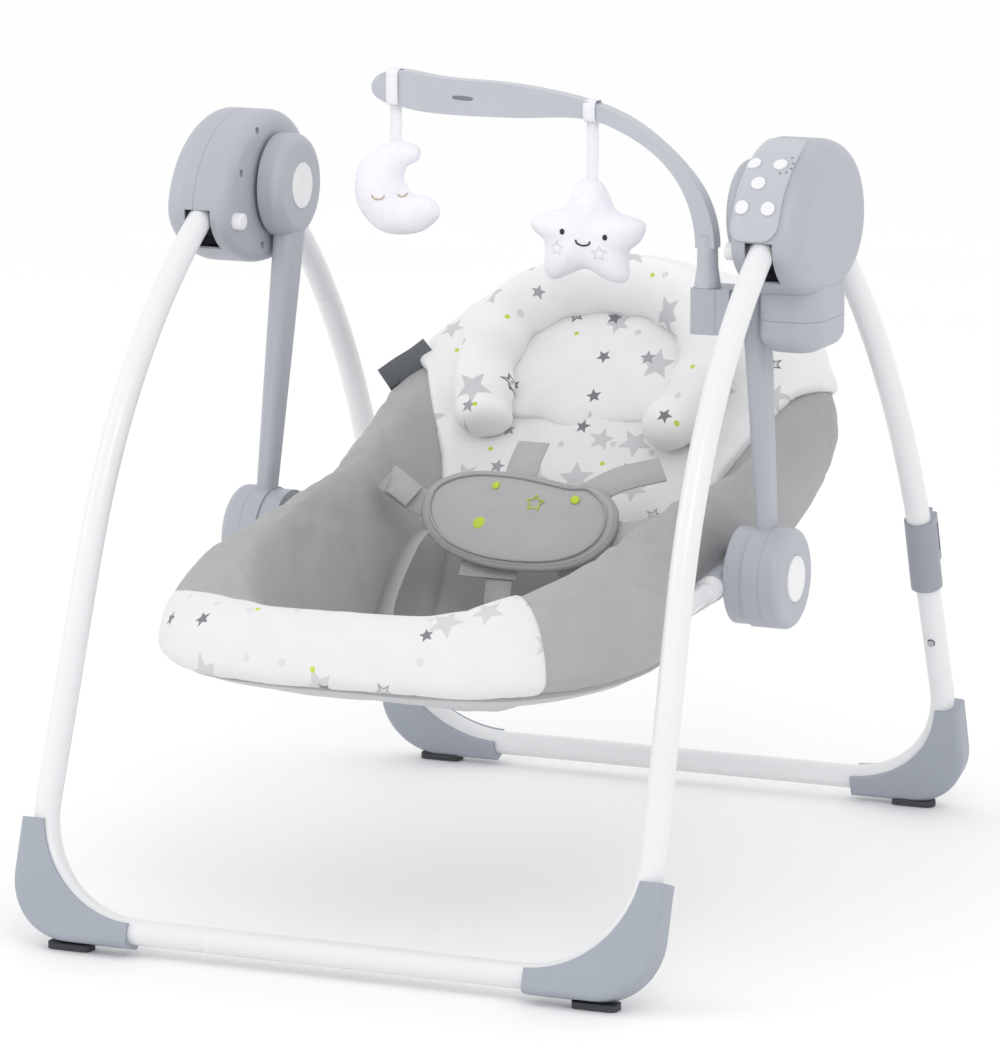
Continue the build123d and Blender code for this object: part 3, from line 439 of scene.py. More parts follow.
def weld(points, faces):
    """Which points stay once those in one place are joined, and the faces between them."""
    _, first, index = np.unique(np.round(points, 5), axis=0, return_index=True, return_inverse=True)
    index = index.ravel()
    kept = []
    for face in index[faces]:
        corners = [a for a, b in zip(face, np.roll(face, 1)) if a != b]
        if len(corners) > 2:
            kept.append(corners)
    return first, kept


def face_normals(points, faces):
    """Normal at each point, from the faces that meet there."""
    total = np.zeros_like(points)
    for face in faces:
        a, b, c, d = points[face[0]], points[face[1]], points[face[2]], points[face[-1]]
        total[face] += np.cross(c - a, d - b)
    return unit(total)


def bumps(points, scale, seed):
    """Smooth noise from about -1 to 1 at each point."""
    offset = Vector((seed * 3.7, seed * 1.9, seed * 5.3))
    return np.array([noise.noise(Vector(map(float, p)) * scale + offset) for p in points]) * 1.6


def creases(points, scale, seed, sharp=7):
    """Thin ridges along the noise's zero lines, from 0 to 1."""
    return (1 - np.minimum(1, np.abs(bumps(points, scale, seed)))) ** sharp


def attach(obj, body):
    """Lets a piece ride on a body."""
    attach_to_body(obj, body)
    return obj


def ride_seat(obj):
    return attach(obj, "seat")


# ---------------------------------------------------------------- seat surface
# Right half of the seat from the front to the back: where the wall meets the bed, the crest of the
# padding, and the outer edge of the roll over the seat tube (x, y, z in metres)
STATIONS = [
    ((0.000, -0.335, 0.285), (0.000, -0.390, 0.337), (0.000, -0.434, 0.290)),
    ((0.060, -0.333, 0.283), (0.085, -0.385, 0.339), (0.100, -0.431, 0.290)),
    ((0.092, -0.300, 0.270), (0.138, -0.342, 0.352), (0.180, -0.398, 0.290)),
    ((0.104, -0.240, 0.255), (0.168, -0.262, 0.366), (0.232, -0.306, 0.290)),
    ((0.110, -0.150, 0.242), (0.180, -0.160, 0.384), (0.250, -0.186, 0.298)),
    ((0.114, -0.060, 0.232), (0.184, -0.058, 0.396), (0.226, -0.088, 0.318)),
    ((0.118, 0.010, 0.232), (0.184, 0.025, 0.402), (0.214, 0.000, 0.342)),
    ((0.124, 0.070, 0.270), (0.200, 0.110, 0.414), (0.247, 0.104, 0.354)),
    ((0.140, 0.160, 0.365), (0.212, 0.200, 0.434), (0.255, 0.205, 0.392)),
    ((0.160, 0.250, 0.462), (0.200, 0.272, 0.474), (0.237, 0.284, 0.448)),
    ((0.108, 0.305, 0.525), (0.134, 0.333, 0.540), (0.155, 0.362, 0.526)),
    ((0.000, 0.325, 0.550), (0.000, 0.350, 0.572), (0.000, 0.380, 0.556)),
]
# centre line of the bed: y, height of its top, height of the sling below
SPINE = [(-0.24, 0.262, 0.230), (-0.15, 0.243, 0.200), (-0.06, 0.230, 0.180), (0.01, 0.226, 0.180),
         (0.05, 0.245, 0.196), (0.12, 0.315, 0.250), (0.20, 0.405, 0.335), (0.26, 0.475, 0.410)]
# where each station's middle line crosses the spine (y)
SPINE_AT = [-0.24, -0.24, -0.22, -0.19, -0.13, -0.06, 0.01, 0.06, 0.14, 0.22, 0.25, 0.26]
# stations round the whole seat: the right half and its mirror
TURNS = 22


def stations(turns):
    """Bed edge, crest, outer edge and spine points at places round the seat, from 0 at the front."""
    rows = [[*bed, *crest, *edge, y] for (bed, crest, edge), y in zip(STATIONS, SPINE_AT)]
    mirror = [[-r[0], *r[1:3], -r[3], *r[4:6], -r[6], *r[7:]] for r in rows[-2:0:-1]]
    rows = np.array(rows + mirror, float)
    at = np.asarray(turns, float)
    i = np.floor(at).astype(int)
    t = (at - i)[:, None]
    found = spline(*(rows[(i + k) % TURNS] for k in (-1, 0, 1, 2)), t)
    y = found[:, 9]
    knots = np.array(SPINE)
    top = np.interp(y, knots[:, 0], knots[:, 1])
    low = np.interp(y, knots[:, 0], knots[:, 2])
    zero = np.zeros_like(y)
    spines = np.stack([zero, y, top], 1), np.stack([zero, y, low], 1)
    return found[:, 0:3], found[:, 3:6], found[:, 6:9], *spines


def seat_surface(turns, across):
    """Points of the seat: across runs 0-1 over the bed, 1-2 up the wall, 2-3 over the roll, 3-4 under."""
    bed, crest, edge, spine, sling = stations(turns)
    q = np.asarray(across, float)[:, None]
    flat = np.array([[1.0, 1.0, 0.0]])
    up = np.array([[0.0, 0.0, 1.0]])

    def mix(a, b, s_flat, s_up):
        return (a + (b - a) * s_flat) * flat + (a + (b - a) * s_up) * up

    t = np.clip(q, 0, 1)
    over_bed = mix(spine, bed, t, t * t)
    t = np.clip(q - 1, 0, 1)
    wall = mix(bed, crest, t, t * t * (3 - 2 * t) * 0.6 + 0.4 * np.sin(t * pi / 2))
    t = np.clip(q - 2, 0, 1)
    roll = mix(crest, edge, np.sin(t * pi / 2), 1 - np.cos(t * pi / 2))
    t = np.clip(q - 3, 0, 1)
    under = mix(edge, sling, t**1.5, t**0.85)
    return np.where(q <= 1, over_bed, np.where(q <= 2, wall, np.where(q <= 3, roll, under)))


def seat_grid(start, end, low, high, rows, columns):
    """Grid of points on the seat surface; low and high give the span across at each turn."""
    turns = np.linspace(start, end, rows)
    share = np.linspace(0, 1, columns)
    spans = [np.interp(turns, [k for k, q in table], [q for k, q in table]) for table in (low, high)]
    across = spans[0][:, None] + (spans[1] - spans[0])[:, None] * share[None, :]
    return seat_surface(np.repeat(turns, columns), across.ravel())


def arc_print(points, rows, columns):
    """Print coordinates measured along the cloth both ways."""
    grid = points.reshape(rows, columns, 3)
    over = np.linalg.norm(np.diff(grid, axis=1), axis=2)
    x = np.repeat(lengths(grid[:, columns // 2]), columns)
    y = np.hstack([np.zeros((rows, 1)), np.cumsum(over, axis=1)]).ravel()
    return np.stack([x, y], 1)


def seat_print(points, slope):
    """Print coordinates on cloth that leans back by slope degrees."""
    a = radians(slope)
    return np.stack([points[:, 0], points[:, 1] * cos(a) + points[:, 2] * sin(a)], 1)


def panel(name, spans, size, thickness, material, slope, outward, seed, rim=0.0015, back=0.001):
    """Closed, softly stuffed panel that follows part of the seat surface."""
    start, end, low, high = spans
    rows, columns = size
    points = seat_grid(start, end, low, high, rows, columns)
    first, faces = weld(points, grid_faces(rows, columns))
    u = np.repeat(np.linspace(-1, 1, rows), columns)[first]
    v = np.tile(np.linspace(-1, 1, columns), rows)[first]
    # a panel that starts at the middle line of the bed isn't sewn down there
    open_side = np.allclose(np.interp(np.linspace(start, end, 9), *zip(*low)), 0)
    v = np.maximum(v, 0) if open_side else v
    base = points[first]
    normals = face_normals(base, faces)
    if normals[:, 2].mean() * outward < 0:
        normals = -normals
        faces = [face[::-1] for face in faces]
    stuffed = np.sqrt(np.maximum(0, (1 - np.abs(u) ** 14) * (1 - np.abs(v) ** 10)))
    waves = 0.22 * bumps(base, 14, seed) + 0.10 * bumps(base, 33, seed + 1)
    folds = creases(base, 11, seed + 2, 5)
    lift = rim + thickness * stuffed * (1 + waves - 0.4 * folds)
    top = base + normals * lift[:, None]
    bottom = base - normals * back
    count = len(base)
    # sides that belong to one face only form the rim; a dictionary keeps their order
    rim_sides = {}
    for face in faces:
        for a, b in zip(face, [*face[1:], face[0]]):
            if (b, a) in rim_sides:
                del rim_sides[(b, a)]
            else:
                rim_sides[(a, b)] = True
    skirt = [[b, a, a + count, b + count] for a, b in rim_sides]
    under = [[c + count for c in face[::-1]] for face in faces]
    if slope is None:
        printed = arc_print(points, rows, columns)[first]
    else:
        printed = seat_print(base, slope)
    return add_mesh(name, np.vstack([top, bottom]), faces + under + skirt, material,
                    np.vstack([printed, printed]))


def tube(name, points, radius, material, sides=10, closed=False, flatten=1.0):
    """Round or slightly flattened tube along points."""
    points = np.asarray(points, float)
    n = len(points)
    radius = np.broadcast_to(np.asarray(radius, float), (n,))
    if closed:
        tangent = unit(np.roll(points, -1, 0) - np.roll(points, 1, 0))
    else:
        tangent = unit(np.gradient(points, axis=0))
    side = np.zeros_like(points)
    across = np.cross(tangent[0], [0.1, 0.2, 1.0])
    for k in range(n):
        across = across - tangent[k] * (across @ tangent[k])
        across /= np.linalg.norm(across)
        side[k] = across
    other = np.cross(tangent, side)
    angles = np.linspace(0, 2 * pi, sides, endpoint=False)
    rings = [p + r * (np.outer(np.cos(angles), s) + flatten * np.outer(np.sin(angles), o))
             for p, r, s, o in zip(points, radius, side, other)]
    faces = bands(n, sides, closed)
    if not closed:
        faces += end_caps(n, sides)
    printed = np.stack([np.tile(angles * 0.01, n), np.repeat(lengths(points), sides)], 1)
    return add_mesh(name, np.vstack(rings), faces, material, printed)


class Flat:
    """Plane to build a pad on: origin, direction across, direction up, and the way it faces."""

    def __init__(self, origin, across, up):
        self.origin = np.array(origin, float)
        self.across = unit(across)
        self.up = unit(up)
        self.out = unit(np.cross(self.across, self.up))

    def at(self, a, b, c=0.0):
        a, b, c = (np.asarray(x, float)[..., None] for x in (a, b, c))
        return self.origin + a * self.across + b * self.up + c * self.out


def pad_height(share, thickness, edge):
    """Half thickness of a stuffed pad, from its middle (0) to its rim (1)."""
    return edge + (thickness - edge) * np.sqrt(np.maximum(0, 1 - share**2.6))


def stuffed_pad(name, outline, plane, thickness, material, centre=(0.0, 0.0), edge=0.0, back=0.6,
                rings=22, seed=1, wrinkle=0.0008, bend=None):
    """Pad stuffed inside a closed outline; bend lifts it off its plane, edge is its half thickness at
    the rim, and back is how much flatter it is behind."""
    outline = np.asarray(outline, float)
    n = len(outline)
    share = np.sin(np.linspace(1, 0, rings) * pi / 2)[:-1]
    flat = np.array(centre) + (outline[None] - np.array(centre)) * share[:, None, None]
    flat = np.vstack([flat.reshape(-1, 2), [centre]])
    depth = np.append(np.repeat(share, n), 0.0)
    lifted = bend(flat) if bend else np.zeros(len(flat))
    height = pad_height(depth, thickness, edge)
    spot = np.hstack([flat, np.zeros((len(flat), 1))])
    ripple = wrinkle * (bumps(spot, 26, seed) + 0.5 * bumps(spot, 60, seed + 1))
    ripple = ripple * (0.25 + 0.75 * (1 - depth))
    top = plane.at(flat[:, 0], flat[:, 1], lifted + height + ripple)
    bottom = plane.at(flat[:, 0], flat[:, 1], lifted - back * height)
    count = len(flat)
    loops = len(share)
    last = (loops - 1) * n
    faces = bands(loops, n) + [[last + a, last + (a + 1) % n, count - 1] for a in range(n)]
    if edge > 0:
        under = [[c + count for c in face[::-1]] for face in faces]
        skirt = [[(a + 1) % n, a, a + count, (a + 1) % n + count] for a in range(n)]
        return add_mesh(name, np.vstack([top, bottom]), faces + under + skirt, material,
                        np.vstack([flat, flat]))
    # with no edge the front and the back share their outermost loop
    shift = count - n
    under = [[c if c < n else c + shift for c in face[::-1]] for face in faces]
    return add_mesh(name, np.vstack([top, bottom[n:]]), faces + under, material,
                    np.vstack([flat, flat[n:]]))


def ribbon(name, points, widths, width, thickness, material, count=40):
    """Flat tape along points; widths gives its direction across at each of them."""
    path = through(points, count)
    across = unit(through(widths, count))
    tangent = unit(np.gradient(path, axis=0))
    across = unit(across - tangent * np.sum(across * tangent, 1, keepdims=True))
    out = np.cross(across, tangent)
    half = width / 2
    # cross-section: place across the tape, and through it in thicknesses
    section = [(-half, 0.25), (-half * 0.97, 0.5), (half * 0.97, 0.5), (half, 0.25), (half, -0.25),
               (half * 0.97, -0.5), (-half * 0.97, -0.5), (-half, -0.25)]
    vertices = []
    printed = []
    for p, s, o, d in zip(path, across, out, lengths(path)):
        for a, c in section:
            vertices.append(p + s * a + o * c * thickness)
            printed.append((a, d))
    m = len(section)
    return add_mesh(name, vertices, bands(count, m) + end_caps(count, m), material, printed)


def oval(a, b, half_width, half_height, count):
    return np.array([(a + half_width * cos(t), b + half_height * sin(t))
                     for t in np.linspace(0, 2 * pi, count, endpoint=False)])


def five_points(a, b, outer, inner):
    """Corners of a small five-pointed star round a place, turned a little."""
    reach = [outer, inner] * 5
    return np.array([(a + r * cos(k * pi / 5 + 0.3), b + r * sin(k * pi / 5 + 0.3))
                     for k, r in enumerate(reach)])


def filled(corners, steps):
    """Closed line with straight sides, each divided into steps."""
    return np.vstack([np.linspace(a, b, steps, endpoint=False)
                      for a, b in zip(corners, np.roll(corners, -1, 0))])


# ---------------------------------------------------------------- seat
rows, columns = 264, 84
turns = np.repeat(np.linspace(0, TURNS, rows, endpoint=False), columns)
across = np.tile(np.linspace(0, 4, columns), rows)
points = seat_surface(turns, across)
first, faces = weld(points, grid_faces(rows, columns, wrap=True))
base = points[first]
q = across[first]
normals = face_normals(base, faces)
if normals[np.argmax(base[:, 2])][2] < 0:
    normals = -normals
    faces = [face[::-1] for face in faces]
# puffs and folds fade out towards the bed and under the seat
wall = np.clip(np.minimum(q - 0.9, 3.6 - q), 0, 1)
slanted = base @ np.array([[1.0, 0.35, 0.0], [-0.2, 0.8, 1.4], [0.0, -1.3, 0.9]])
puffs = 0.0032 * bumps(base, 9, 4) + 0.0012 * bumps(base, 25, 5)
folds = 0.0060 * creases(slanted, 7, 6, 6) * np.clip(0.5 + bumps(base, 5, 7), 0, 1)
folds += 0.0034 * creases(slanted, 15, 8, 5) * np.clip(0.4 + bumps(base, 8, 9), 0, 1)
steep = base @ np.array([[1.0, 0.0, -0.4], [0.5, 0.35, 0.9], [0.2, -1.2, 1.0]])
folds += 0.0040 * creases(steep, 11, 14, 6) * np.clip(0.35 + bumps(base, 6, 15), 0, 1)
base = base + normals * ((puffs - folds) * wall)[:, None]
seat_shell = ride_seat(add_mesh("seat_shell", base, faces, finishes["grey_velour"]))
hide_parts("side_wings", "seat_cushion")

# the edges of each panel are given as (place round the seat, place across it)
lip_low = [(-2.8, 2.62), (-2.0, 2.36), (-1.2, 2.1), (0.0, 1.95), (2.25, 1.93)]
lip_spans = (-2.8, 2.25, lip_low, [(-3, 3.16), (3, 3.16)])
# the lip uses the darker copy of the star cotton, whose ground has painted shade in it
front_lip = panel("front_lip", lip_spans, (110, 46), 0.0055, finishes["lip_cotton"], None, 1, 11)
ride_seat(front_lip)

back_high = [(7.7, 1.02), (8.1, 1.2), (8.7, 1.9), (9.2, 3.1), (12.8, 3.1),
             (13.3, 1.9), (13.9, 1.2), (14.3, 1.02)]
back_spans = (7.7, 14.3, [(6, 0.0), (16, 0.0)], back_high)
back_panel = panel("back_panel", back_spans, (150, 60), 0.007, finishes["star_cotton"], 50, 1, 21)
ride_seat(back_panel)
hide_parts("back_cushion")

insert_side = [(0.9, 0.97), (1.6, 0.7), (2.4, 0.62), (3.4, 0.66), (4.5, 0.8), (6.0, 0.88), (7.9, 0.92)]
insert_high = [(-k, q) for k, q in insert_side[::-1]] + insert_side
insert_spans = (-7.9, 7.9, [(-8, 0.0), (8, 0.0)], insert_high)
seat_insert = panel("seat_insert", insert_spans, (150, 30), 0.011, pad_cloth, 0, 1, 31)
ride_seat(seat_insert)

lining_spans = (0, TURNS, [(0, 3.24), (TURNS, 3.24)], [(0, 4.0), (TURNS, 4.0)])
pouch = panel("pouch_lining", lining_spans, (200, 26), 0.003, lining, 0, -1, 41)
ride_seat(pouch)


def seat_line(ks, qs, lift=0.0):
    """Points along the seat surface, lifted off it towards the outside."""
    ks = np.asarray(ks, float)
    qs = np.broadcast_to(np.asarray(qs, float), ks.shape)
    here = seat_surface(ks % TURNS, qs)
    if lift == 0:
        return here
    along = seat_surface((ks + 0.02) % TURNS, qs) - here
    over = seat_surface(ks % TURNS, qs + 0.02) - here
    out = unit(np.cross(along, over))
    out = np.where(out[:, 2:3] < 0, -out, out)
    return here + out * lift


binding = tube("edge_binding", seat_line(np.linspace(0, TURNS, 300, endpoint=False), 3.2), 0.0042,
               piping_cloth, closed=True)
ride_seat(binding)
for side, name in ((1, "right"), (-1, "left")):
    ks = np.linspace(0.9, 5.6, 60) * side
    spans = np.interp(np.abs(ks), *zip(*insert_side))
    edging = tube(f"insert_piping_{name}", seat_line(ks, spans * 1.03, 0.0045), 0.0040, piping_cloth)
    ride_seat(edging)

# ---------------------------------------------------------------- head pillow
# plane of the back rest, which the pillow lies on
REST = Flat((0, 0.12, 0.315), (1, 0, 0), (0, 0.66, 0.75))
PILLOW_LOOPS = 90
PILLOW_SIDES = 36
PILLOW_RISE = 0.026
arms = through([(-0.106, 0.112), (-0.118, 0.150), (-0.128, 0.205), (-0.112, 0.258), (-0.066, 0.292),
                (-0.010, 0.300), (0.046, 0.292), (0.094, 0.256), (0.109, 0.203), (0.098, 0.150),
                (0.076, 0.112)], PILLOW_LOOPS)
# the roll narrows over the last six loops at each end
loops = np.arange(PILLOW_LOOPS)
ends = np.minimum(loops, loops[::-1]) / 6
fat = 0.031 * np.sqrt(np.clip(1 - (1 - np.clip(ends, 0, 1)) ** 2, 0.02, 1))
fat = fat * (1 + 0.04 * np.sin(loops * 0.7))
centres = REST.at(arms[:, 0], arms[:, 1], PILLOW_RISE)
pillow = tube("head_pillow_roll", centres, fat, finishes["white_cotton"], sides=PILLOW_SIDES, flatten=0.8)
skin = pillow.data
places = np.array([v.co for v in skin.vertices])
# its print is shifted sideways, so that it differs from the print of the back
printed = np.zeros_like(places)
printed[:, 0] = places[:, 0] + 0.31
printed[:, 1] = (places - REST.origin) @ REST.up
skin.attributes["print"].data.foreach_set("vector", printed.astype(np.float32).ravel())
ripples = 0.0016 * bumps(places, 30, 51) + 0.0007 * bumps(places, 70, 52)
middle = np.repeat(centres, PILLOW_SIDES, axis=0)
places = places + unit(places - middle) * ripples[:, None]
skin.vertices.foreach_set("co", places.ravel())
ride_seat(pillow)
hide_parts("head_pillow")

pad_outline = through([(-0.10, 0.150), (-0.062, 0.146), (-0.028, 0.136), (0.006, 0.142), (0.046, 0.150),
                       (0.082, 0.148), (0.096, 0.200), (0.080, 0.256), (0.036, 0.288), (-0.012, 0.296),
                       (-0.062, 0.286), (-0.104, 0.254), (-0.118, 0.200)], 110, closed=True)
head_pad = stuffed_pad("head_pad", pad_outline, REST, 0.014, finishes["white_cotton"],
                       centre=(-0.01, 0.215), edge=0.003, seed=61, wrinkle=0.0014)
ride_seat(head_pad)

# ---------------------------------------------------------------- harness
# plane of the belly pad
BELLY = Flat((0, 0.010, 0.357), (1, 0, 0), (0, 0.616, 0.788))
bean = through([(-0.094, 0.039), (-0.060, 0.049), (-0.005, 0.048), (0.050, 0.041), (0.075, 0.042),
                (0.098, 0.022), (0.099, -0.010), (0.078, -0.036), (0.040, -0.049), (-0.017, -0.049),
                (-0.068, -0.033), (-0.098, -0.005), (-0.105, 0.022)], 120, closed=True)


def belly_bend(flat):
    """The belly pad bows forward between the straps at its ends."""
    return 0.004 - 0.9 * flat[:, 0] ** 2


belly_pad = stuffed_pad("harness_pad_cloth", bean, BELLY, 0.0085, pad_cloth, edge=0.0045, seed=71,
                        wrinkle=0.0012, bend=belly_bend)
ride_seat(belly_pad)
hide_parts("harness_pad")
for name, share, lift, thick in (("outer", 1.0, 0.0, 0.0042), ("inner", 0.93, 0.0076, 0.0014)):
    ring = bean * share
    line = BELLY.at(ring[:, 0], ring[:, 1], belly_bend(ring) + lift)
    ride_seat(tube(f"pad_piping_{name}", line, thick, piping_cloth, closed=True))
pad_dots = {"a": (-0.028, 0.034, 0.0042), "b": (0.059, 0.026, 0.0048), "c": (-0.035, -0.009, 0.0068)}
for name, (a, b, r) in pad_dots.items():
    ring = through(oval(a, b, r, r, 8), 24, closed=True)
    spot = stuffed_pad(f"pad_dot_{name}", ring, BELLY, 0.0012, lime_thread, centre=(a, b), edge=0.0004,
                       rings=5, wrinkle=0, bend=lambda flat: belly_bend(flat) + 0.0082)
    ride_seat(spot)
tips = five_points(0.019, 0.017, 0.0095, 0.0048)
star_line = filled(BELLY.at(tips[:, 0], tips[:, 1], belly_bend(tips) + 0.0094), 5)
ride_seat(tube("pad_star", star_line, 0.0007, lime_thread, sides=6, closed=True))

# each strap's centre line, direction across its width, and width
strap_paths = {
    "shoulder_cover": ([BELLY.at(-0.012, 0.042, -0.004), BELLY.at(-0.012, 0.070, -0.006),
                        BELLY.at(-0.012, 0.098, -0.014)], (1, 0, 0), 0.034),
    "shoulder_right": ([BELLY.at(0.062, 0.038, -0.006), BELLY.at(0.092, 0.062, -0.010),
                        BELLY.at(0.128, 0.084, -0.024)], (0.5, -0.5, -0.6), 0.030),
    "waist_left": ([BELLY.at(-0.095, 0.015, -0.010), BELLY.at(-0.122, 0.022, -0.006),
                    BELLY.at(-0.152, 0.036, 0.004)], (0, 0.6, 0.8), 0.028),
    "waist_left_turn": ([BELLY.at(-0.150, 0.038, 0.001), BELLY.at(-0.138, 0.030, 0.010),
                         BELLY.at(-0.118, 0.020, 0.000)], (0, 0.6, 0.8), 0.028),
    "waist_right": ([BELLY.at(0.090, 0.005, -0.012), BELLY.at(0.115, 0.000, -0.008),
                     BELLY.at(0.150, 0.010, -0.004)], (0, 0.6, 0.8), 0.028),
    "thigh_left": ([BELLY.at(-0.096, -0.004, -0.010), BELLY.at(-0.110, -0.038, -0.006),
                    (-0.110, -0.066, 0.276), (-0.090, -0.115, 0.256), (-0.070, -0.150, 0.258)],
                   (0.8, -0.5, 0.3), 0.030),
    "thigh_right": ([BELLY.at(0.060, -0.030, -0.014), BELLY.at(0.078, -0.060, -0.018),
                     (0.100, -0.062, 0.275), (0.106, -0.100, 0.254)], (0.75, 0.1, 0.6), 0.034),
    "crotch_tab": ([BELLY.at(-0.020, -0.034, -0.006), BELLY.at(-0.020, -0.052, -0.0085),
                    BELLY.at(-0.020, -0.059, -0.0095)], (1, 0, 0), 0.062),
    "crotch": ([BELLY.at(-0.008, -0.030, -0.010), BELLY.at(-0.008, -0.062, -0.014),
                (-0.006, -0.030, 0.262), (-0.006, -0.034, 0.240)], (1, 0, 0), 0.028),
}
STRAP_THICKNESS = 0.0022
straps = {}
for name, (line, widths, width) in strap_paths.items():
    straps[name] = ribbon(f"strap_{name}", line, [widths] * len(line), width, STRAP_THICKNESS,
                          finishes["grey_webbing"])
    ride_seat(straps[name])
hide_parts("harness_straps")

# ---------------------------------------------------------------- plain tag on the left wing
tag_path = [(-0.208, 0.266, 0.482), (-0.222, 0.258, 0.470), (-0.238, 0.249, 0.459),
            (-0.2505, 0.2415, 0.4495)]
for name, cloth, width, drop in (("tag", tag_cloth, 0.025, 0.0), ("tag_back", tag_edge, 0.028, 0.0016)):
    line = [np.array(p) + np.array((0, 0.8 * drop, -0.6 * drop)) for p in tag_path]
    strap = ribbon(f"wing_{name}", line, [(0.62, 0.35, 0.66)] * 4, width, 0.0010, cloth)
    ride_seat(strap)

# ---------------------------------------------------------------- toys


def swept_plush(name, path, radii, plane, depth, material, seed):
    """Soft body swept along a flat path, thick across it by depth times its radius."""
    sides = 40
    centres = plane.at(path[:, 0], path[:, 1])
    tangent = unit(np.gradient(centres, axis=0))
    side = np.cross(tangent, plane.out)
    angles = np.linspace(0, 2 * pi, sides, endpoint=False)
    rings = [p + r * (np.outer(np.cos(angles), s) + depth * np.outer(np.sin(angles), plane.out))
             for p, r, s in zip(centres, radii, side)]
    vertices = np.vstack(rings)
    middle = np.repeat(centres, sides, axis=0)
    vertices = vertices + unit(vertices - middle) * (0.0014 * bumps(vertices, 42, seed))[:, None]
    return add_mesh(name, vertices, bands(len(path), sides) + end_caps(len(path), sides), material)


def toy_plane(x, z):
    """Upright plane through a toy's middle, facing the baby's feet."""
    low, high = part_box("moon_toy")
    return Flat((x, (low[1] + high[1]) / 2, z), (1, 0, 0), (0, 0, 1))


def remesh(obj, size):
    """Gives obj one clean closed skin of even quads."""
    modifier = obj.modifiers.new("skin", "REMESH")
    modifier.mode = "VOXEL"
    modifier.voxel_size = size
    modifier.use_smooth_shade = True
    smooth = obj.modifiers.new("smooth", "SMOOTH")
    smooth.iterations = 6
    bpy.context.view_layer.update()
    found = obj.evaluated_get(bpy.context.evaluated_depsgraph_get())
    mesh = bpy.data.meshes.new_from_object(found)
    mesh.name = obj.name
    obj.modifiers.clear()
    obj.data = mesh
    mesh.polygons.foreach_set("use_smooth", [True] * len(mesh.polygons))


def on_surface(obj, plane, a, b, lift=0.0):
    """Point on the front of obj over a place on the plane."""
    bpy.context.view_layer.update()
    start = Vector(map(float, plane.at(a, b, 0.1)))
    hit, where, *_ = obj.ray_cast(start, -Vector(map(float, plane.out)))
    return np.array(where if hit else plane.at(a, b, 0.0)) + plane.out * lift


def stitched(name, obj, plane, line, radius, material, body, closed=False):
    """Line of thread laid on the front of obj."""
    line = through(line, 20, closed)
    laid = np.array([on_surface(obj, plane, a, b, radius * 0.3) for a, b in line])
    attach(tube(name, laid, radius, material, sides=8, closed=closed), body)


# moon: fat in the middle of its curve, with blunt horns that point to the right;
# each point has its place on the plane and the radius there
SKIN_CELL = 0.0016
MOON = toy_plane(-0.1243, 0.6878)
curve = through([(0.031, 0.0375, 0.003), (0.029, 0.0377, 0.0075), (0.021, 0.0375, 0.0105),
                 (0.006, 0.033, 0.0165), (-0.008, 0.019, 0.0235), (-0.012, 0.003, 0.0268),
                 (-0.004, -0.013, 0.0268), (0.012, -0.021, 0.0235), (0.027, -0.021, 0.0195),
                 (0.039, -0.017, 0.0155), (0.047, -0.0135, 0.0105), (0.050, -0.012, 0.004)], 80)
moon = swept_plush("moon_plush", curve[:, :2], curve[:, 2], MOON, 0.72, finishes["toy_plush"], 81)
remesh(moon, SKIN_CELL)
attach(moon, "moon_toy")
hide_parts("moon_toy")
# closed eyes: middle, half width and depth of each lid's curve
moon_eyes = {"left": (-0.006, -0.003, 0.0065, 0.0042), "right": (0.0165, -0.0015, 0.0035, 0.0026)}
for name, (a, b, w, d) in moon_eyes.items():
    lid = [(a - w, b), (a - w * 0.7, b - d * 0.75), (a, b - d), (a + w * 0.7, b - d * 0.75), (a + w, b)]
    stitched(f"moon_eye_{name}", moon, MOON, lid, 0.0008, tan_thread, "moon_toy")

# star: five rounded arms, the upper one tall
STAR = toy_plane(0.0879, 0.6564)
star_outline = through([(0.001, 0.057), (-0.012, 0.052), (-0.019, 0.036), (-0.027, 0.025), (-0.047, 0.020),
                        (-0.062, 0.011), (-0.060, 0.001), (-0.047, -0.011), (-0.0475, -0.036),
                        (-0.043, -0.047), (-0.033, -0.048), (-0.020, -0.042), (-0.001, -0.036),
                        (0.020, -0.045), (0.036, -0.0485), (0.044, -0.041), (0.043, -0.018),
                        (0.056, -0.005), (0.062, 0.009), (0.058, 0.016), (0.036, 0.022),
                        (0.027, 0.028), (0.020, 0.043), (0.012, 0.054)], 150, closed=True) * 0.97
star = stuffed_pad("star_plush", star_outline, STAR, 0.021, finishes["toy_plush"], edge=0.0, back=1.0,
                   rings=34, seed=82, wrinkle=0.0012)
remesh(star, SKIN_CELL)
attach(star, "star_toy")
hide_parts("star_toy")
for name, a, b in (("left", -0.0195, 0.0035), ("right", 0.025, 0.0)):
    spot = on_surface(star, STAR, a, b)
    eye = stuffed_pad(f"star_eye_{name}", oval(0, 0, 0.0026, 0.0030, 20), Flat(spot, STAR.across, STAR.up),
                      0.0014, dark_thread, rings=6, wrinkle=0, back=1.0)
    attach(eye, "star_toy")
smile = [(-0.0050, -0.0035), (-0.0035, -0.0070), (0.0025, -0.0090), (0.0085, -0.0075), (0.0100, -0.0045)]
stitched("star_smile", star, STAR, smile, 0.0009, dark_thread, "star_toy")
for name, a, b in (("left", -0.026, -0.013), ("right", 0.019, -0.016)):
    laid = np.array([on_surface(star, STAR, *p, 0.0002) for p in five_points(a, b, 0.0075, 0.0036)])
    line = tube(f"star_cheek_{name}", filled(laid, 4), 0.0006, pale_thread, sides=6, closed=True)
    attach(line, "star_toy")

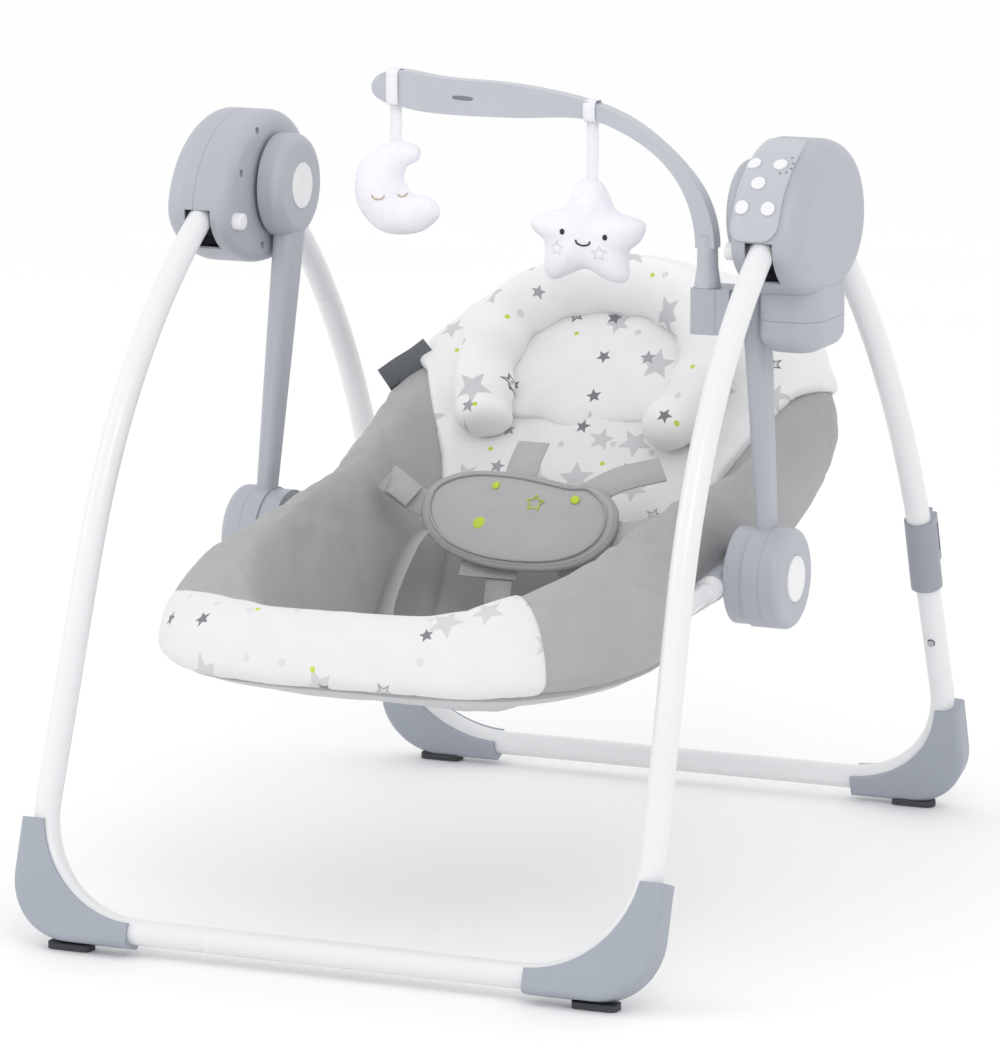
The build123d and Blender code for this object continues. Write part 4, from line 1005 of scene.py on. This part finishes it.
# ---------------------------------------------------------------- toy bar's end and slot, and the ribbons
bpy.context.view_layer.update()
bar = frame["nodes"]["toy_bar"]
BLADE = toy_plane(0, 0)
round_end = through([(-0.1180, 0.8065), (-0.1290, 0.8055), (-0.1380, 0.7995), (-0.1415, 0.7910),
                     (-0.1385, 0.7830), (-0.1290, 0.7770), (-0.1180, 0.7745), (-0.1120, 0.7800),
                     (-0.1110, 0.7910), (-0.1120, 0.8020)], 80, closed=True)
tip = stuffed_pad("bar_end", round_end, BLADE, 0.0089, finishes["panel_plastic"], centre=(-0.1255, 0.791),
                  edge=0.0078, back=1.0, rings=10, wrinkle=0)
attach(tip, "toy_bar")
slot_shape = [(-0.0090, -0.0018), (-0.0090, 0.0018), (0.0090, 0.0012), (0.0090, -0.0024)]
slot_shape = through(slot_shape, 24, closed=True) + np.array([-0.0430, 0.7845])
inlay = stuffed_pad("bar_slot", slot_shape, BLADE, 0.0088, slot_shadow, centre=(-0.043, 0.7843),
                    edge=0.0086, back=0.9, rings=6, wrinkle=0)
attach(inlay, "toy_bar")

# each toy hangs on a satin ribbon from a loop of tape round the bar: x is where it hangs, and foot is how
# far above the toy's middle it is sewn in
RIBBON_WIDTH = 0.0125
# from the middle of the blade out to the loop's tape
half = 0.0096
for name, plane, x, foot, body in (
        ("moon", MOON, -0.1186, 0.0455, "moon_toy"), ("star", STAR, 0.0917, 0.054, "star_toy")):
    y = plane.origin[1]
    over = bar.ray_cast(Vector((x, y, 1.0)), Vector((0, 0, -1)))[1][2]
    under = bar.ray_cast(Vector((x, y, 0.0)), Vector((0, 0, 1)))[1][2]
    loop_side = [(0.002, under - 0.0022), (half - 0.003, under - 0.0016), (half, under + 0.002),
                 (half, over - 0.003), (half - 0.004, over + 0.0012)]
    loop = [(x, y + a, z) for a, z in loop_side]
    loop += [(x, y, over + 0.0016)]
    loop += [(x, y - a, z) for a, z in loop_side[::-1]]
    tape = ribbon(f"{name}_ribbon_loop", loop, [(1, 0, 0)] * len(loop), RIBBON_WIDTH, 0.0008, satin, 90)
    attach(tape, "toy_bar")
    top = under - 0.0022
    foot_z = plane.origin[2] + foot
    sway = [(x, y, top), (x + 0.0008, y - 0.0015, (top + foot_z) / 2), (x, y - 0.001, foot_z),
            (x, y, foot_z - 0.012)]
    tape = ribbon(f"{name}_ribbon", sway, [(1, 0, 0)] * len(sway), RIBBON_WIDTH, 0.0009, satin, 30)
    attach(tape, body)

# ---------------------------------------------------------------- indicator lamps on the control panel
bpy.context.view_layer.update()
face = frame["nodes"]["control_panel"]
lamps = [(0.3110, 0.7458), (0.3145, 0.7416), (0.3150, 0.7374), (0.3118, 0.7343), (0.3060, 0.7330)]
for k, (x, z) in enumerate(lamps):
    hit, where, normal, _ = face.ray_cast(Vector((x, -0.3, z)), Vector((0, 1, 0)))
    if hit:
        level = np.cross((0, 0, 1), normal)
        lamp_plane = Flat(where, level, np.cross(normal, level))
        lamp = stuffed_pad(f"lamp_{k}", oval(0, 0, 0.0013, 0.0013, 16), lamp_plane, 0.0006, lamp_glass,
                           rings=5, wrinkle=0, back=0.5)
        attach(lamp, "housings")

# ---------------------------------------------------------------- floor, light and camera
bpy.ops.mesh.primitive_plane_add(size=60, location=(0, 0, -0.0006))
floor = bpy.context.object
floor.name = "floor"
g = Graph("pale_floor")
floor.data.materials.append(g.finish(
    Base_Color=g.mix(g.noise(g.place(), 2.0), srgb(250, 250, 250), srgb(253, 253, 253)),
    Roughness=g.range(g.noise(g.place(), 3.0), 0.6, 0.7),
    Specular_IOR_Level=0.2,
))

world = bpy.data.worlds.new("studio")
bpy.context.scene.world = world
world.use_nodes = True
world.node_tree.nodes["Background"].inputs["Color"].default_value = (1.0, 1.0, 1.0, 1.0)
world.node_tree.nodes["Background"].inputs["Strength"].default_value = 1.02


def soft_box(name, place, target, size, power):
    light = bpy.data.lights.new(name, "AREA")
    light.shape = "SQUARE"
    light.size = size
    light.energy = power
    obj = bpy.data.objects.new(name, light)
    obj.location = place
    obj.rotation_euler = (Vector(target) - Vector(place)).to_track_quat("-Z", "Y").to_euler()
    bpy.context.scene.collection.objects.link(obj)


soft_box("key", (1.6, -2.6, 2.9), (0, 0, 0.4), 1.3, 17)
soft_box("fill", (-2.6, -1.6, 1.8), (0, 0, 0.4), 1.6, 9)

# the photo's view: a long lens, about six metres away
lens = bpy.data.cameras.new("camera")
lens.lens = 206.1
lens.sensor_width = 36
lens.clip_end = 200
camera = bpy.data.objects.new("camera", lens)
camera.location = (2.3142, -5.3926, 1.4806)
aim = Vector((0, -0.0328, 0.3632)) - camera.location
camera.rotation_euler = aim.to_track_quat("-Z", "Y").to_euler()
bpy.context.scene.collection.objects.link(camera)
bpy.context.scene.camera = camera
bpy.context.scene.view_settings.view_transform = "Standard"
